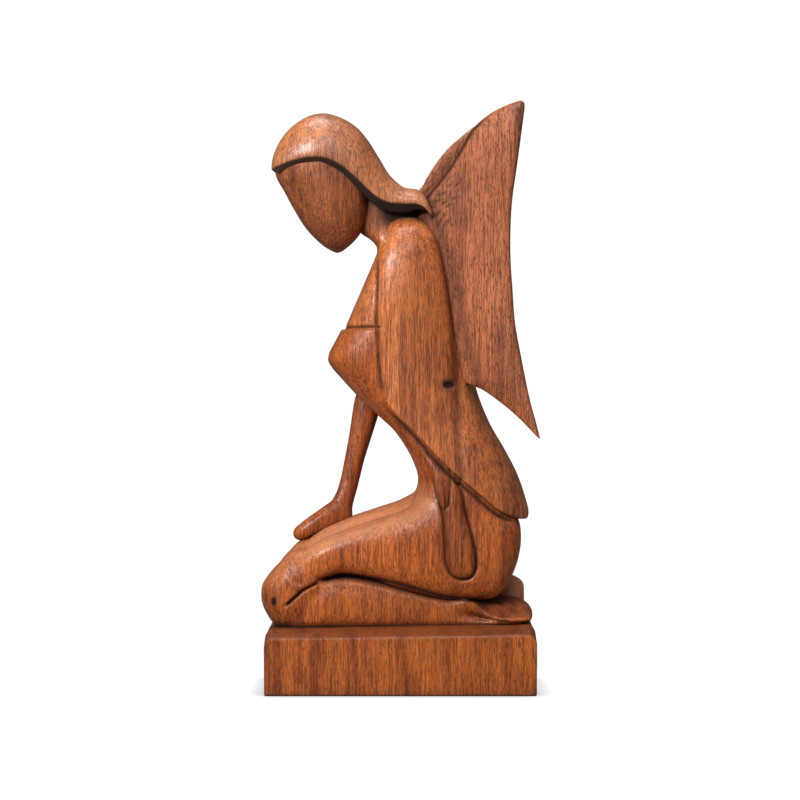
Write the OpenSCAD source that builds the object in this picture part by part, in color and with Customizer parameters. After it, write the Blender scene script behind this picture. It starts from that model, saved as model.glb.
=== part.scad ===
// Kneeling angel statuette, carved from one block of hardwood.
// Millimetres. The base stands on z = 0 with its centre at the origin.
// The figure kneels towards -X, so its left side is -Y and its back is +X.
// Every mass is a chain of hulls between rings; a ring is a rounded section
// of the mass. Tables of rings give places on a figure of the nominal size,
// and widths as shares of the named width of that mass.

/* [Base block] */
// Length of the base, knee end to toe end
base_length = 138.5; // [118:0.5:160]
// Width of the base
base_width = 80; // [70:1:96]
// Height of the base top at the knee end
base_front_height = 33.5; // [27:0.5:41]
// Height of the base top at the toe end
base_back_height = 35.5; // [29:0.5:43]
// How far the toe end leans out at its top
base_lean = 1; // [0:0.2:1.2]
// How far in from the long sides the top slopes down
base_slope_width = 13; // [9:0.5:16]
// How far it slopes down there
base_slope_drop = 4.2; // [3:0.1:5.2]
// How far in from the two ends the top is bevelled
base_end_width = 2.5; // [2:0.5:4]
// How far down that bevel goes
base_end_drop = 4; // [3:0.5:6]

/* [Figure] */
// Length of the figure, knee to toe
figure_length = 141; // [117:1:170]
// Height of the figure, base top to crown
figure_height = 267.5; // [223:0.5:321]
// How far the figure sits back from the middle of the base
figure_setback = 0.5; // [-3:0.5:3]

/* [Legs] */
// Distance between the middles of the two legs
leg_spacing = 30; // [26:0.5:36]
// Width of a thigh
thigh_width = 31; // [26:0.5:38]
// Width of a knee
knee_width = 29; // [25:0.5:35]
// Width of a calf
calf_width = 27; // [23:0.5:33]
// Width of a foot
foot_width = 24; // [20:0.5:29]
// How much higher the right thigh rises than the left one
right_thigh_rise = 4.5; // [3.5:0.5:5.5]
// How much higher the right knee rises than the left one
right_knee_rise = 4; // [3:0.5:5]
// How far the right knee lies behind the left one
right_knee_setback = 3.5; // [2.5:0.5:4.5]
// How much higher the right foot rises than the left one
right_foot_rise = 10.5; // [8.5:0.5:12.5]
// How far the right foot stops short of the left one
right_foot_setback = 3; // [2.5:0.5:4]

/* [Trunk] */
// Width of the waist under the cape
waist_width = 58; // [48:1:70]
// Width of the bodice
bodice_width = 55; // [46:1:66]
// Width of the upper chest
chest_width = 52; // [43:1:62]
// Width of the neck
neck_width = 17; // [14:0.5:20]

/* [Head] */
// Width of the head at the temples
head_width = 41; // [34:0.5:49]
// Width of the hair
hair_width = 47; // [40:0.5:56]

/* [Cape] */
// How far each side of the cape stands out from the trunk
cape_stand = 3; // [2.5:0.25:5]

/* [Arms] */
// Thickness of the left forearm, side to side
forearm_thickness = 11; // [9:0.5:13]
// Thickness of the left hand, side to side
hand_thickness = 7.5; // [6.5:0.5:9]
// Thickness of the right arm, side to side
right_arm_thickness = 14; // [11.5:0.5:17]
// Width of the right hand
right_hand_width = 15; // [12.5:0.5:18]

/* [Wings] */
// Height of a wing, lower tip to upper tip
wing_height = 173; // [145:1:207]
// Distance between the wings where they leave the back
wing_root_gap = 22; // [18:1:26]
// Distance between the outer edges of the wings
wing_spread = 62; // [52:1:74]
// Thickness of a wing at its root
wing_root_thickness = 8; // [6.5:0.5:9.5]
// Thickness of a wing at its outer edge
wing_edge_thickness = 4; // [3:0.5:5]
// How much further forward the leading edge of the right wing reaches
right_wing_fullness = 9.5; // [8:0.5:11.5]
// How much higher the lower tip of the right wing stops
right_wing_lift = 3; // [2.5:0.5:4]

/* [Hidden] */

left = -1;
right = 1;
ring_points = 24;
reach = 400;                       // larger than the whole piece
nominal_length = 141;
nominal_height = 267.5;
nominal_base_top = 33.5;
nominal_wing_height = 173;
nominal_wing_foot = 131.5;

// The cape goes round the widest part of the trunk
cape_width = max(waist_width, bodice_width) + 2 * cape_stand;
// Legs set wider apart than they are thick still meet at the middle plane
thigh_reach = max(0, (leg_spacing - thigh_width + 1) / 2);
// The left forearm lies against the waist and its hand against the hip, and the right arm against the bodice
nominal_waist_width = 58;
nominal_hip_width = 61;
nominal_bodice_width = 55;
left_forearm_spread = waist_width / nominal_waist_width;
left_hand_spread = (leg_spacing + thigh_width) / nominal_hip_width;
right_arm_spread = bodice_width / nominal_bodice_width;
// Heights on the nominal figure between which an arm changes from one spread to the other
wrist_height = 80;
cuff_height = 104;

wood = [0.62, 0.33, 0.18];
light_wood = [0.70, 0.41, 0.23];
red_wood = [0.56, 0.27, 0.15];
pale_wood = [0.76, 0.50, 0.30];

// Places on the nominal figure turned into places on this one
function along(x) = figure_setback + x * figure_length / nominal_length;
function above(z) = base_front_height + (z - nominal_base_top) * figure_height / nominal_height;

// Power of a cosine or sine that keeps its sign; it squares up a round section
function signed_pow(v, p) = sign(v) * pow(abs(v), p);

// A rounded section: centre, two half axes, and how square its two halves are
function ring(centre, u, v, upper, lower) = [
    for (i = [0:ring_points - 1])
        let (a = 360 * i / ring_points, e = 2 / (sin(a) > 0 ? upper : lower))
        centre + u * signed_pow(cos(a), e) + v * signed_pow(sin(a), e)
];

// Ring across X: row is [x, z low, z high, width share]. Its inner edge moves in by reach.
function ring_x(row, width, y, rise, upper, lower, reach_in) =
    let (low = above(row[1]), high = above(row[2]) + rise, share = row[3])
    ring([along(row[0]), y - sign(y) * share * reach_in / 2, (low + high) / 2],
         [0, share * (width + reach_in) / 2, 0], [0, 0, (high - low) / 2], upper, lower);

// Ring across Z: row is [z, x front, x back, width share]
function ring_z(row, width, y, power) =
    let (front = along(row[1]), back = along(row[2]))
    ring([(front + back) / 2, y, above(row[0])], [(back - front) / 2, 0, 0],
         [0, row[3] * width / 2, 0], power, power);

// Solid through a list of rings
module loft(rings)
    for (i = [0:len(rings) - 2])
        hull() polyhedron(concat(rings[i], rings[i + 1]), [[for (k = [0:2 * ring_points - 1]) k]]);

module loft_x(rows, width, y, rise = 0, upper = 2.3, lower = 2.3, reach_in = 0)
    loft([for (row = rows) ring_x(row, width, y, rise * min(1, row[3]), upper, lower, reach_in)]);

module loft_z(rows, width, y = 0, power = 2.4)
    loft([for (row = rows) ring_z(row, width, y, power)]);

// Half of space on one side of the middle plane
module half(side)
    translate([-reach, side < 0 ? -reach : 0, -reach])
        cube([2 * reach, reach, 2 * reach]);

// An outline in the XZ plane carried through the whole width
module stencil(outline)
    rotate([90, 0, 0])
        linear_extrude(2 * reach, center = true)
            polygon([for (p = outline) [along(p[0]), above(p[1])]]);

// ---- base ----

// Everything above a sloping face through a line, kept for cutting
module above_face(at, lean, turn)
    translate(at) rotate(lean) rotate(turn)
        translate([-reach / 2, -reach / 2, 0]) cube(reach);

module base_form() {
    pitch = atan((base_back_height - base_front_height) / base_length);
    side_slope = atan(base_slope_drop / base_slope_width);
    end_slope = atan(base_end_drop / base_end_width);
    mid_height = (base_front_height + base_back_height) / 2;
    difference() {
        rotate([90, 0, 0])
            linear_extrude(base_width, center = true)
                polygon([
                    [-base_length / 2, 0], [base_length / 2, 0],
                    [base_length / 2 + base_lean, base_back_height],
                    [-base_length / 2, base_front_height]
                ]);
        for (side = [left, right])
            above_face([0, side * (base_width / 2 - base_slope_width), mid_height],
                       [0, -pitch, 0], [-side * side_slope, 0, 0]);
        above_face([base_end_width - base_length / 2, 0, base_front_height], [0, 0, 0], [0, -end_slope, 0]);
        above_face([base_length / 2 + base_lean - base_end_width, 0, base_back_height], [0, 0, 0], [0, end_slope, 0]);
    }
}

// ---- legs ----

module thigh_form(side)
    loft_x([
        [-53.5, 60, 66, 0.3], [-51, 55, 73, 0.78], [-44, 56.5, 77, 0.93],
        [-30.5, 60.5, 83, 1], [-12, 56.5, 89.3, 1.05], [0, 52.5, 93.3, 1.07],
        [8, 50.5, 97.5, 1.08], [24, 47, 103, 1.08], [40, 47, 100, 1.04],
        [50, 49, 96, 0.95], [56.4, 58, 94, 0.8], [60.8, 68.5, 91, 0.55], [62.6, 77, 86, 0.2]
    ], thigh_width, side * leg_spacing / 2, rise = side == right ? right_thigh_rise : 0,
    reach_in = thigh_reach);

module knee_form(side)
    translate([side == right ? right_knee_setback : 0, 0, 0])
        loft_x([
            [-72.5, 48.5, 52, 0.1], [-71.5, 44, 56, 0.38], [-69.5, 40, 59, 0.62],
            [-66.5, 35.5, 63, 0.8], [-62, 31.5, 67.5, 0.92], [-57, 30.5, 72, 1],
            [-50, 30.5, 74, 1], [-45, 32, 74, 0.92], [-40, 38, 68, 0.6]
        ], knee_width, side * leg_spacing / 2, rise = side == right ? right_knee_rise : 0);

module lower_leg_form(side)
    loft_x([
        [-60, 34, 44, 0.6], [-55, 31, 50, 0.9], [-45, 30.5, 58, 1],
        [-34, 30.5, 62, 1.02], [-20, 30.5, 60, 1], [-8, 30.8, 57, 0.96],
        [4, 31, 53.5, 0.88], [16, 31.5, 50.5, 0.8], [28, 32, 49, 0.72],
        [36, 33, 48, 0.6]
    ], calf_width, side * leg_spacing / 2);

module foot_form(side)
    translate([side == right ? -right_foot_setback : 0, 0, 0])
        loft_x([
            [22, 35, 47, 0.45], [28, 34, 49.5, 0.7], [35, 33.5, 50.5, 0.85],
            [42, 33.5, 50.5, 0.96], [49, 34, 49.5, 1], [55, 34.5, 48.5, 1],
            [61, 35, 46.5, 0.95], [66, 36.5, 44.5, 0.72], [68.4, 39.5, 42.5, 0.3]
        ], foot_width, side * leg_spacing * 0.45, rise = side == right ? right_foot_rise : 0, lower = 2.8);

module left_thigh() {
    color(wood) intersection() {
        thigh_form(left);
        half(left);
    }
}

module right_thigh() {
    color(wood) intersection() {
        thigh_form(right);
        half(right);
    }
}

module knee(side)
    difference() {
        intersection() {
            knee_form(side);
            half(side);
        }
        thigh_form(side);
        base_form();
    }

module left_knee() {
    color(light_wood) knee(left);
}

module right_knee() {
    color(light_wood) knee(right);
}

module lower_leg(side)
    difference() {
        intersection() {
            lower_leg_form(side);
            half(side);
        }
        thigh_form(side);
        knee_form(side);
        base_form();
    }

module left_lower_leg() {
    color(light_wood) lower_leg(left);
}

module right_lower_leg() {
    color(light_wood) lower_leg(right);
}

module foot(side)
    difference() {
        intersection() {
            foot_form(side);
            half(side);
        }
        lower_leg_form(side);
        thigh_form(side);
        base_form();
    }

module left_foot() {
    color(pale_wood) foot(left);
}

module right_foot() {
    color(pale_wood) foot(right);
}

// ---- trunk ----

module waist_form()
    loft_z([
        [84, 6, 54, 0.9], [92, 6, 57, 0.96], [101.8, 7.6, 57, 0.94],
        [108.7, 9.7, 54, 0.9], [116.6, 7.4, 50, 0.9], [122, 5, 47, 0.93],
        [127, 2.1, 44, 0.96], [136, -4.6, 38, 1], [141, -10, 35, 0.95],
        [146, -12, 32, 0.8]
    ], waist_width, power = 3);

module bodice_form()
    loft_z([
        [135, -1, 26, 0.7], [140, -9, 30, 0.86], [147, -16.5, 31, 0.93],
        [154, -23.7, 31, 0.98], [162, -31, 30, 1], [168, -36, 29, 1],
        [171.7, -38.1, 28, 0.98], [175, -37.6, 28, 0.96], [181, -34.6, 27, 0.94],
        [187.8, -31, 26, 0.92]
    ], bodice_width, power = 2.6);

module chest_form()
    loft_z([
        [184, -30, 24, 0.95], [188.5, -29, 24, 0.98], [196, -25.9, 23, 1],
        [205, -22, 22, 1], [212, -19, 20, 0.97], [219, -16, 18, 0.9],
        [225, -13.2, 15, 0.7], [230, -10, 12, 0.5], [234, -5, 9, 0.3]
    ], chest_width, power = 2.8);

module neck_form()
    loft_z([
        [212, -10, 10, 0.9], [218, -11, 10, 1], [223, -12, 11, 1], [227, -12.2, 12, 1],
        [231, -13, 13, 1], [235, -16.5, 14, 1.02], [238, -20.5, 15, 1.06],
        [244, -24, 15, 1.1], [250, -27, 14, 1.1], [256, -30, 8, 1]
    ], neck_width);

module waist() {
    color(wood) difference() {
        waist_form();
        bodice_form();
        thigh_form(left);
        thigh_form(right);
    }
}

module bodice() {
    color(wood) difference() {
        bodice_form();
        chest_form();
    }
}

module chest() {
    color(light_wood) chest_form();
}

module neck() {
    color(wood) difference() {
        neck_form();
        chest_form();
        head_form();
        hair_form();
    }
}

// ---- head ----

module head_form()
    loft_z([
        [228.6, -34.6, -31.5, 0.08], [230.5, -38, -28.5, 0.3], [235, -44.4, -23.5, 0.54],
        [241, -49.9, -19.5, 0.74], [249, -54.9, -17, 0.89], [259, -60.4, -15, 0.98],
        [268, -65.4, -15, 1], [275, -66.4, -18, 0.98], [283, -60, -24, 0.8],
        [289, -52, -34, 0.4]
    ], head_width, power = 2.2);

// The hair is a cap over the head that sweeps back into a flipped-up tail
module hair_form()
    loft_x([
        [-67.4, 272, 276, 0.12], [-66, 272, 281, 0.42], [-62, 273.5, 288.6, 0.68],
        [-54.5, 276, 296, 0.88], [-47, 277.3, 300, 0.97], [-40, 277, 301, 1],
        [-32, 273.5, 299, 1], [-23.7, 266.5, 294.2, 0.95], [-17, 259.5, 286.8, 0.86],
        [-11, 255, 277.4, 0.76], [-5, 253.5, 267.6, 0.66], [2, 253.2, 261.8, 0.55],
        [9, 252.5, 261, 0.42], [14, 248, 256, 0.26], [16.5, 245.5, 250, 0.1]
    ], hair_width, 0, upper = 2.1, lower = 4);

module face() {
    color(light_wood) difference() {
        head_form();
        hair_form();
    }
}

module hair() {
    color(red_wood) hair_form();
}

// ---- cape ----

module cape_form()
    loft_z([
        [86, 6, 65, 0.72], [90, 0, 67.4, 0.84], [100, -8, 65.4, 0.95],
        [112, -16, 61.3, 1], [125, -24, 54.6, 1], [138, -28, 47.2, 0.97],
        [155, -30, 40.2, 0.95], [173, -30, 36.2, 0.94], [192, -30, 32, 0.94],
        [210, -28, 28.5, 0.92], [224, -24, 25, 0.84], [236, -18, 20.5, 0.66],
        [243, -11, 14, 0.42], [246.8, -4, 6, 0.12]
    ], cape_width);

// Front edge, slanting hem and point of the cape, then far round the back
cape_outline = [
    [-9.5, 260], [-10.8, 222], [-11, 193], [-10, 172], [-8, 150.5],
    [6, 135.6], [24.6, 116.4], [40.4, 102.9], [52.2, 93.4], [58, 90.4],
    [64.5, 88.6], [90, 88.6], [90, 260]
];

module cape(side)
    difference() {
        intersection() {
            cape_form();
            stencil(cape_outline);
            half(side);
        }
        chest_form();
        bodice_form();
        waist_form();
        neck_form();
        thigh_form(side);
    }

module left_cape() {
    color(red_wood) cape(left);
}

module right_cape() {
    color(red_wood) cape(right);
}

// ---- arms ----

function spread_at(z, low, high) =
    low + (high - low) * max(0, min(1, (z - wrist_height) / (cuff_height - wrist_height)));

// Ring across Z of a limb: row is [z, x front, x back, y, thickness share]; y spreads from low to high
module limb(rows, thickness, low, high)
    loft([
        for (row = rows)
            ring_z([row[0], row[1], row[2], row[4]], thickness, row[3] * spread_at(row[0], low, high), 2.5)
    ]);

right_hand_y = 15.8;

module left_forearm_form()
    limb([
        [128, 12, 28, -23, 0.9], [120, 13.5, 29.5, -24, 1], [112, 16, 31.5, -25.5, 1],
        [104, 18.8, 31.8, -27, 1], [97, 20.8, 32.4, -28, 0.98], [92, 21.6, 33.4, -28.8, 0.94],
        [88, 22, 34.4, -29.4, 0.88], [84, 22.2, 35.2, -29.9, 0.82], [80, 22.4, 36, -30.3, 0.74]
    ], forearm_thickness, left_hand_spread, left_forearm_spread);

module left_hand_form()
    limb([
        [86, 22, 34.8, -29.6, 1], [80, 22.2, 36.2, -30.4, 1.04], [76, 22.3, 37, -30.8, 1],
        [72, 22.6, 37.7, -31.1, 0.96], [69, 22.9, 38.2, -31.3, 0.92], [66, 23.3, 38.5, -31.4, 0.86],
        [63, 24.2, 38.3, -31.4, 0.76], [61, 26, 37, -31.3, 0.6], [59.3, 29.5, 33, -31.1, 0.3]
    ], hand_thickness, left_hand_spread, left_forearm_spread);

module left_cuff_form()
    limb([
        [126, 9.5, 23, -22, 1], [121, 11.5, 23.8, -23.4, 1.06], [116, 13.6, 24.2, -24.7, 1.1],
        [111, 15.4, 24.4, -25.9, 1.12], [106, 17.2, 24.3, -26.9, 1.12], [102, 18.6, 24, -27.6, 1.1],
        [98.5, 20, 23.8, -28.1, 1.06], [96, 21, 23.5, -28.4, 0.96], [94, 22, 23.1, -28.6, 0.6]
    ], forearm_thickness, left_hand_spread, left_forearm_spread);

module right_arm_form()
    limb([
        [184, -4, 10, 23, 0.7], [176, -10, 6, 23.4, 0.92], [166, -17, 0, 23.2, 1],
        [152, -24.4, -8.6, 22.2, 0.94], [140, -26.4, -12.4, 21, 0.88],
        [129.6, -28, -15.6, 20, 0.82], [118, -30.2, -19, 18.8, 0.76], [109, -31.9, -21.2, 17.8, 0.72],
        [102.5, -33.6, -22.8, 16.8, 0.7], [96, -36.4, -24.4, 15.8, 0.68], [90, -38, -25.2, 15.4, 0.64]
    ], right_arm_thickness, right_arm_spread, right_arm_spread);

module right_hand_form()
    loft_x([
        [-25, 82, 91, 0.6], [-28, 82, 96, 0.72], [-32, 82, 99, 0.8],
        [-37, 80, 97.2, 0.88], [-43, 77, 92.6, 0.98], [-49, 74, 88.4, 1],
        [-53.5, 72, 85.2, 0.92], [-56.2, 74, 82.8, 0.7], [-57.6, 76.5, 80.6, 0.3]
    ], right_hand_width, right_hand_y * right_arm_spread);

module left_cuff_fold() {
    color(light_wood) difference() {
        left_cuff_form();
        waist_form();
        thigh_form(left);
        cape_solid(left);
    }
}

module left_forearm() {
    color(light_wood) difference() {
        left_forearm_form();
        left_cuff_form();
        waist_form();
        thigh_form(left);
        cape_solid(left);
    }
}

module left_hand() {
    color(light_wood) difference() {
        left_hand_form();
        left_forearm_form();
        left_cuff_form();
        thigh_form(left);
    }
}

module right_arm() {
    color(light_wood) difference() {
        right_arm_form();
        chest_form();
        bodice_form();
        waist_form();
        thigh_form(right);
        cape_solid(right);
    }
}

module right_hand() {
    color(pale_wood) difference() {
        right_hand_form();
        right_arm_form();
        thigh_form(right);
        knee_form(right);
    }
}

// The cape with its inside filled, which trims what comes out from under it
module cape_solid(side)
    intersection() {
        cape_form();
        stencil(cape_outline);
        half(side);
    }

// ---- wings ----

// Ring of a wing: row is [z, x inner edge, x outer edge, thickness share].
// A section leans outwards from the root line to the outer edge.
root_x = 22;
edge_x = 62;
function wing_y(x) =
    wing_root_gap / 2 + (wing_spread - wing_root_gap) / 2 * (x - root_x) / (edge_x - root_x);

function wing_ring(row, side) =
    let (z = above(nominal_wing_foot) + (row[0] - nominal_wing_foot) * wing_height / nominal_wing_height,
         a = [along(row[1]), side * wing_y(row[1]), z],
         b = [along(row[2]), side * wing_y(row[2]), z],
         u = (b - a) / 2,
         across = [-u[1], u[0], 0] / norm(u),
         share = min(1, max(0, (row[1] - root_x) / (edge_x - root_x))),
         thick = wing_root_thickness + (wing_edge_thickness - wing_root_thickness) * share)
    ring((a + b) / 2, u, across * thick * row[3] / 2, 3, 3);

// The last number of a row is how far a fuller wing reaches past it in front
module wing_form(side, fullness, lift)
    loft([for (row = [
        [131.5, 70.6, 71.4, 0.5, 0, 1], [136, 66.4, 70.2, 0.8, 0, 1], [141, 61.7, 68.9, 0.9, 0, 1],
        [148, 54, 66.9, 1, 0, 1], [156, 43.2, 65, 1, 0, 0.8], [162, 28, 63.7, 1, 0, 0.5],
        [175, 24, 61.1, 1, 0, 0], [190, 20, 58.7, 1, 0, 0], [207, 17, 57.3, 1, 0, 0],
        [228, 12, 56.3, 1, 0, 0], [244, 8, 56.5, 1, 0.6, 0], [255, 12.4, 57.2, 1, 0.9, 0],
        [264, 20, 58.3, 1, 1, 0], [272, 26, 59.5, 1, 0.9, 0], [280, 31.6, 60.6, 1, 0.85, 0],
        [290, 38, 61.9, 1, 0.7, 0], [298, 48.4, 63, 0.9, 0.45, 0],
        [302.3, 55.6, 63.3, 0.8, 0.15, 0], [304.5, 60.4, 62.1, 0.5, 0, 0]
    ]) wing_ring([row[0] + lift * row[5], row[1] - fullness * row[4], row[2], row[3]], side)]);

module wing(side, fullness, lift)
    difference() {
        wing_form(side, fullness, lift);
        cape_form();
        chest_form();
        neck_form();
        hair_form();
        head_form();
    }

module left_wing() {
    color(wood) wing(left, 0, 0);
}

module right_wing() {
    color(wood) wing(right, right_wing_fullness, right_wing_lift);
}

module base_block() {
    color(wood) base_form();
}

base_block();
left_thigh();
right_thigh();
left_knee();
right_knee();
left_lower_leg();
right_lower_leg();
left_foot();
right_foot();
waist();
bodice();
chest();
neck();
face();
hair();
left_cape();
right_cape();
left_cuff_fold();
left_forearm();
left_hand();
right_arm();
right_hand();
left_wing();
right_wing();
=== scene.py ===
"""Kneeling winged figure, carved from one block of hardwood and varnished.

Sizes are millimetres on the nominal figure; place() turns them into metres in the frame.
The figure kneels towards -X, its left side is -Y and +Z is up.
"""
import math

import bpy
import numpy as np
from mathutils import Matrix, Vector


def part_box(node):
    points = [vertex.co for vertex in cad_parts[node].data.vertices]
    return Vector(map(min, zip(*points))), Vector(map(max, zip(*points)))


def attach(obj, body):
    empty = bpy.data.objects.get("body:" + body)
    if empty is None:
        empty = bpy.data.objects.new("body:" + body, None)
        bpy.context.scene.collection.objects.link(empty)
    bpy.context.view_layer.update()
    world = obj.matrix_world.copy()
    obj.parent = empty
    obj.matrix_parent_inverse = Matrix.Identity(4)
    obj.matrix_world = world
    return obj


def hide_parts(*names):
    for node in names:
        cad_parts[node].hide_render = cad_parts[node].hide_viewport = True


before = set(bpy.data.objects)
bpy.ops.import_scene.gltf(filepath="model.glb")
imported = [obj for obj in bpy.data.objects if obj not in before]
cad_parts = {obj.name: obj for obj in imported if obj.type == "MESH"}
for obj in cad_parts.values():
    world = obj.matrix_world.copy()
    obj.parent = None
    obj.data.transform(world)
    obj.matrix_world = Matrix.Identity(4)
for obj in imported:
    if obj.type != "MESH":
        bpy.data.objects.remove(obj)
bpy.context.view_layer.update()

LEFT, RIGHT = -1, 1
MM = 0.001


# ---- from the nominal figure to the frame ----

# Knee tip, left edge of the cape, top of the base; toe tip, right edge of the cape, crown
NOMINAL_LOW = np.array([-72.5, -32.0, 35.5])
NOMINAL_HIGH = np.array([68.4, 32.0, 301.0])
FRAME_LOW = np.array([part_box("left_knee")[0].x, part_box("left_cape")[0].y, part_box("base_block")[1].z])
FRAME_HIGH = np.array([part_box("left_foot")[1].x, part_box("right_cape")[1].y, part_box("hair")[1].z])


def place(points):
    """Nominal millimetres to metres: each axis runs evenly between two places known in the frame."""
    share = (np.asarray(points, float) - NOMINAL_LOW) / (NOMINAL_HIGH - NOMINAL_LOW)
    return FRAME_LOW + share * (FRAME_HIGH - FRAME_LOW)


# ---- smooth rows and rounded sections ----


def smooth_rows(rows, count):
    """Stations turned into `count` rows by a cubic through them.

    The running value is the distance between stations; the slope at a station is the mean of the
    two chords beside it, each weighted by the other's length.
    """
    rows = np.asarray(rows, float)
    steps = np.sqrt((np.diff(rows[:, :3], axis=0) ** 2).sum(1))
    at = np.concatenate(([0.0], np.cumsum(steps)))
    chord = np.diff(rows, axis=0) / steps[:, None]
    slope = np.empty_like(rows)
    before, after = steps[:-1, None], steps[1:, None]
    slope[1:-1] = (after * chord[:-1] + before * chord[1:]) / (before + after)
    slope[0], slope[-1] = chord[0], chord[-1]
    want = np.linspace(0, at[-1], count)
    k = np.clip(np.searchsorted(at, want, side="right") - 1, 0, len(steps) - 1)
    width = steps[k][:, None]
    t = ((want - at[k]) / steps[k])[:, None]
    return (
        rows[k] * (1 + 2 * t) * (1 - t) ** 2
        + slope[k] * width * t * (1 - t) ** 2
        + rows[k + 1] * t**2 * (3 - 2 * t)
        + slope[k + 1] * width * t**2 * (t - 1)
    )


def signed_power(value, power):
    """A power of the size of a value, with the value's sign."""
    return np.sign(value) * np.abs(value) ** power


def sections(centre, across, up, upper, lower, count):
    """Closed sections: centre + across * cos + up * sin, both waves raised to 2 / power.

    A power of 2 is an ellipse and a higher one a squarer section; the upper and the lower half
    have their own power.
    """
    turn = np.linspace(0, 2 * math.pi, count, endpoint=False)
    power = np.where(np.sin(turn)[None, :] > 0, np.reshape(upper, (-1, 1)), np.reshape(lower, (-1, 1)))
    c = signed_power(np.cos(turn)[None, :], 2 / power)
    s = signed_power(np.sin(turn)[None, :], 2 / power)
    return centre[:, None, :] + across[:, None, :] * c[..., None] + up[:, None, :] * s[..., None]


def sections_along(rows, y=0.0, upper=2.4, lower=2.4, rings=90, count=72):
    """Sections standing across X. A row is x, z low, z high, half width and, if given, y."""
    r = smooth_rows(rows, rings)
    zero = np.zeros(len(r))
    middle = r[:, 4] if r.shape[1] > 4 else zero + y
    centre = np.stack([r[:, 0], middle, (r[:, 1] + r[:, 2]) / 2], 1)
    across = np.stack([zero, np.maximum(r[:, 3], 0.05), zero], 1)
    up = np.stack([zero, zero, np.maximum((r[:, 2] - r[:, 1]) / 2, 0.05)], 1)
    return sections(centre, across, up, np.full(len(r), upper), np.full(len(r), lower), count)


def sections_up(rows, rings=90, count=84):
    """Sections lying flat above each other.

    A row is z, x front, x back, half width, power and, if given, y.
    """
    r = smooth_rows(rows, rings)
    zero = np.zeros(len(r))
    middle = r[:, 5] if r.shape[1] > 5 else zero
    centre = np.stack([(r[:, 1] + r[:, 2]) / 2, middle, r[:, 0]], 1)
    along = np.stack([np.maximum((r[:, 2] - r[:, 1]) / 2, 0.05), zero, zero], 1)
    side = np.stack([zero, np.maximum(r[:, 3], 0.05), zero], 1)
    return sections(centre, along, side, r[:, 4], r[:, 4], count)


def mirrored(points):
    """The same points on the other side of the middle plane."""
    return points * np.array([1.0, -1.0, 1.0])


# ---- meshes ----


def skin(rings):
    """Vertices and faces of a closed surface over rings of points, with a pole at each end."""
    rows, count, _ = rings.shape
    index = np.arange(rows * count).reshape(rows, count)
    here, there = index[:-1], index[1:]
    quads = np.stack([here, np.roll(here, -1, 1), np.roll(there, -1, 1), there], -1).reshape(-1, 4)
    start, end = rows * count, rows * count + 1
    first = np.stack([np.full(count, start), np.roll(index[0], -1), index[0]], -1)
    last = np.stack([np.full(count, end), index[-1], np.roll(index[-1], -1)], -1)
    points = np.concatenate([rings.reshape(-1, 3), rings[:1].mean(1), rings[-1:].mean(1)])
    return points, [*map(list, quads), *map(list, first), *map(list, last)]


def volume_of(points, faces):
    """Signed volume: the sum over fans of triangles of a corner dotted with the cross of the other two."""
    total = 0.0
    for size in (3, 4):
        some = np.array([f for f in faces if len(f) == size])
        for k in range(1, size - 1) if len(some) else ():
            a, b, c = points[some[:, 0]], points[some[:, k]], points[some[:, k + 1]]
            total += (a * np.cross(b, c)).sum()
    return total


def joined(*solids):
    """Several closed surfaces as one list of vertices and faces."""
    points, faces, offset = [], [], 0
    for p, f in solids:
        if volume_of(p, f) < 0:
            f = [face[::-1] for face in f]
        points.append(p)
        faces.extend([v + offset for v in face] for face in f)
        offset += len(p)
    return np.concatenate(points), faces


def make_object(name, points, faces, to_frame=place):
    """A mesh object in metres, smooth, with its faces turned outwards."""
    points, faces = joined((points, faces))
    mesh = bpy.data.meshes.new(name)
    mesh.from_pydata(to_frame(points).tolist(), [], [[int(v) for v in face] for face in faces])
    mesh.polygons.foreach_set("use_smooth", np.ones(len(mesh.polygons), bool))
    mesh.update()
    piece = bpy.data.objects.new(name, mesh)
    bpy.context.scene.collection.objects.link(piece)
    return piece


def corners(piece):
    """Vertex places of a piece in metres, as an array."""
    flat = np.empty(len(piece.data.vertices) * 3)
    piece.data.vertices.foreach_get("co", flat)
    return flat.reshape(-1, 3)


def normals(piece):
    """Unit normals at the vertices, as an array."""
    flat = np.empty(len(piece.data.vertices) * 3)
    piece.data.vertices.foreach_get("normal", flat)
    return flat.reshape(-1, 3)


def set_corners(piece, points):
    """Moves the vertices of a piece to an array of places in metres."""
    piece.data.vertices.foreach_set("co", np.asarray(points, np.float32).ravel())
    piece.data.update()


def apply_modifiers(piece):
    """Puts the result of a piece's modifiers into its mesh."""
    bpy.context.view_layer.update()
    graph = bpy.context.evaluated_depsgraph_get()
    mesh = bpy.data.meshes.new_from_object(piece.evaluated_get(graph))
    piece.modifiers.clear()
    old = piece.data
    piece.data = mesh
    bpy.data.meshes.remove(old)
    mesh.polygons.foreach_set("use_smooth", np.ones(len(mesh.polygons), bool))
    mesh.update()


def melt_together(piece, cell):
    """Joins overlapping solids into one surface on cells of that size, in millimetres."""
    remesh = piece.modifiers.new("melt", "REMESH")
    remesh.mode = "VOXEL"
    remesh.voxel_size = cell * MM
    apply_modifiers(piece)


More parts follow.
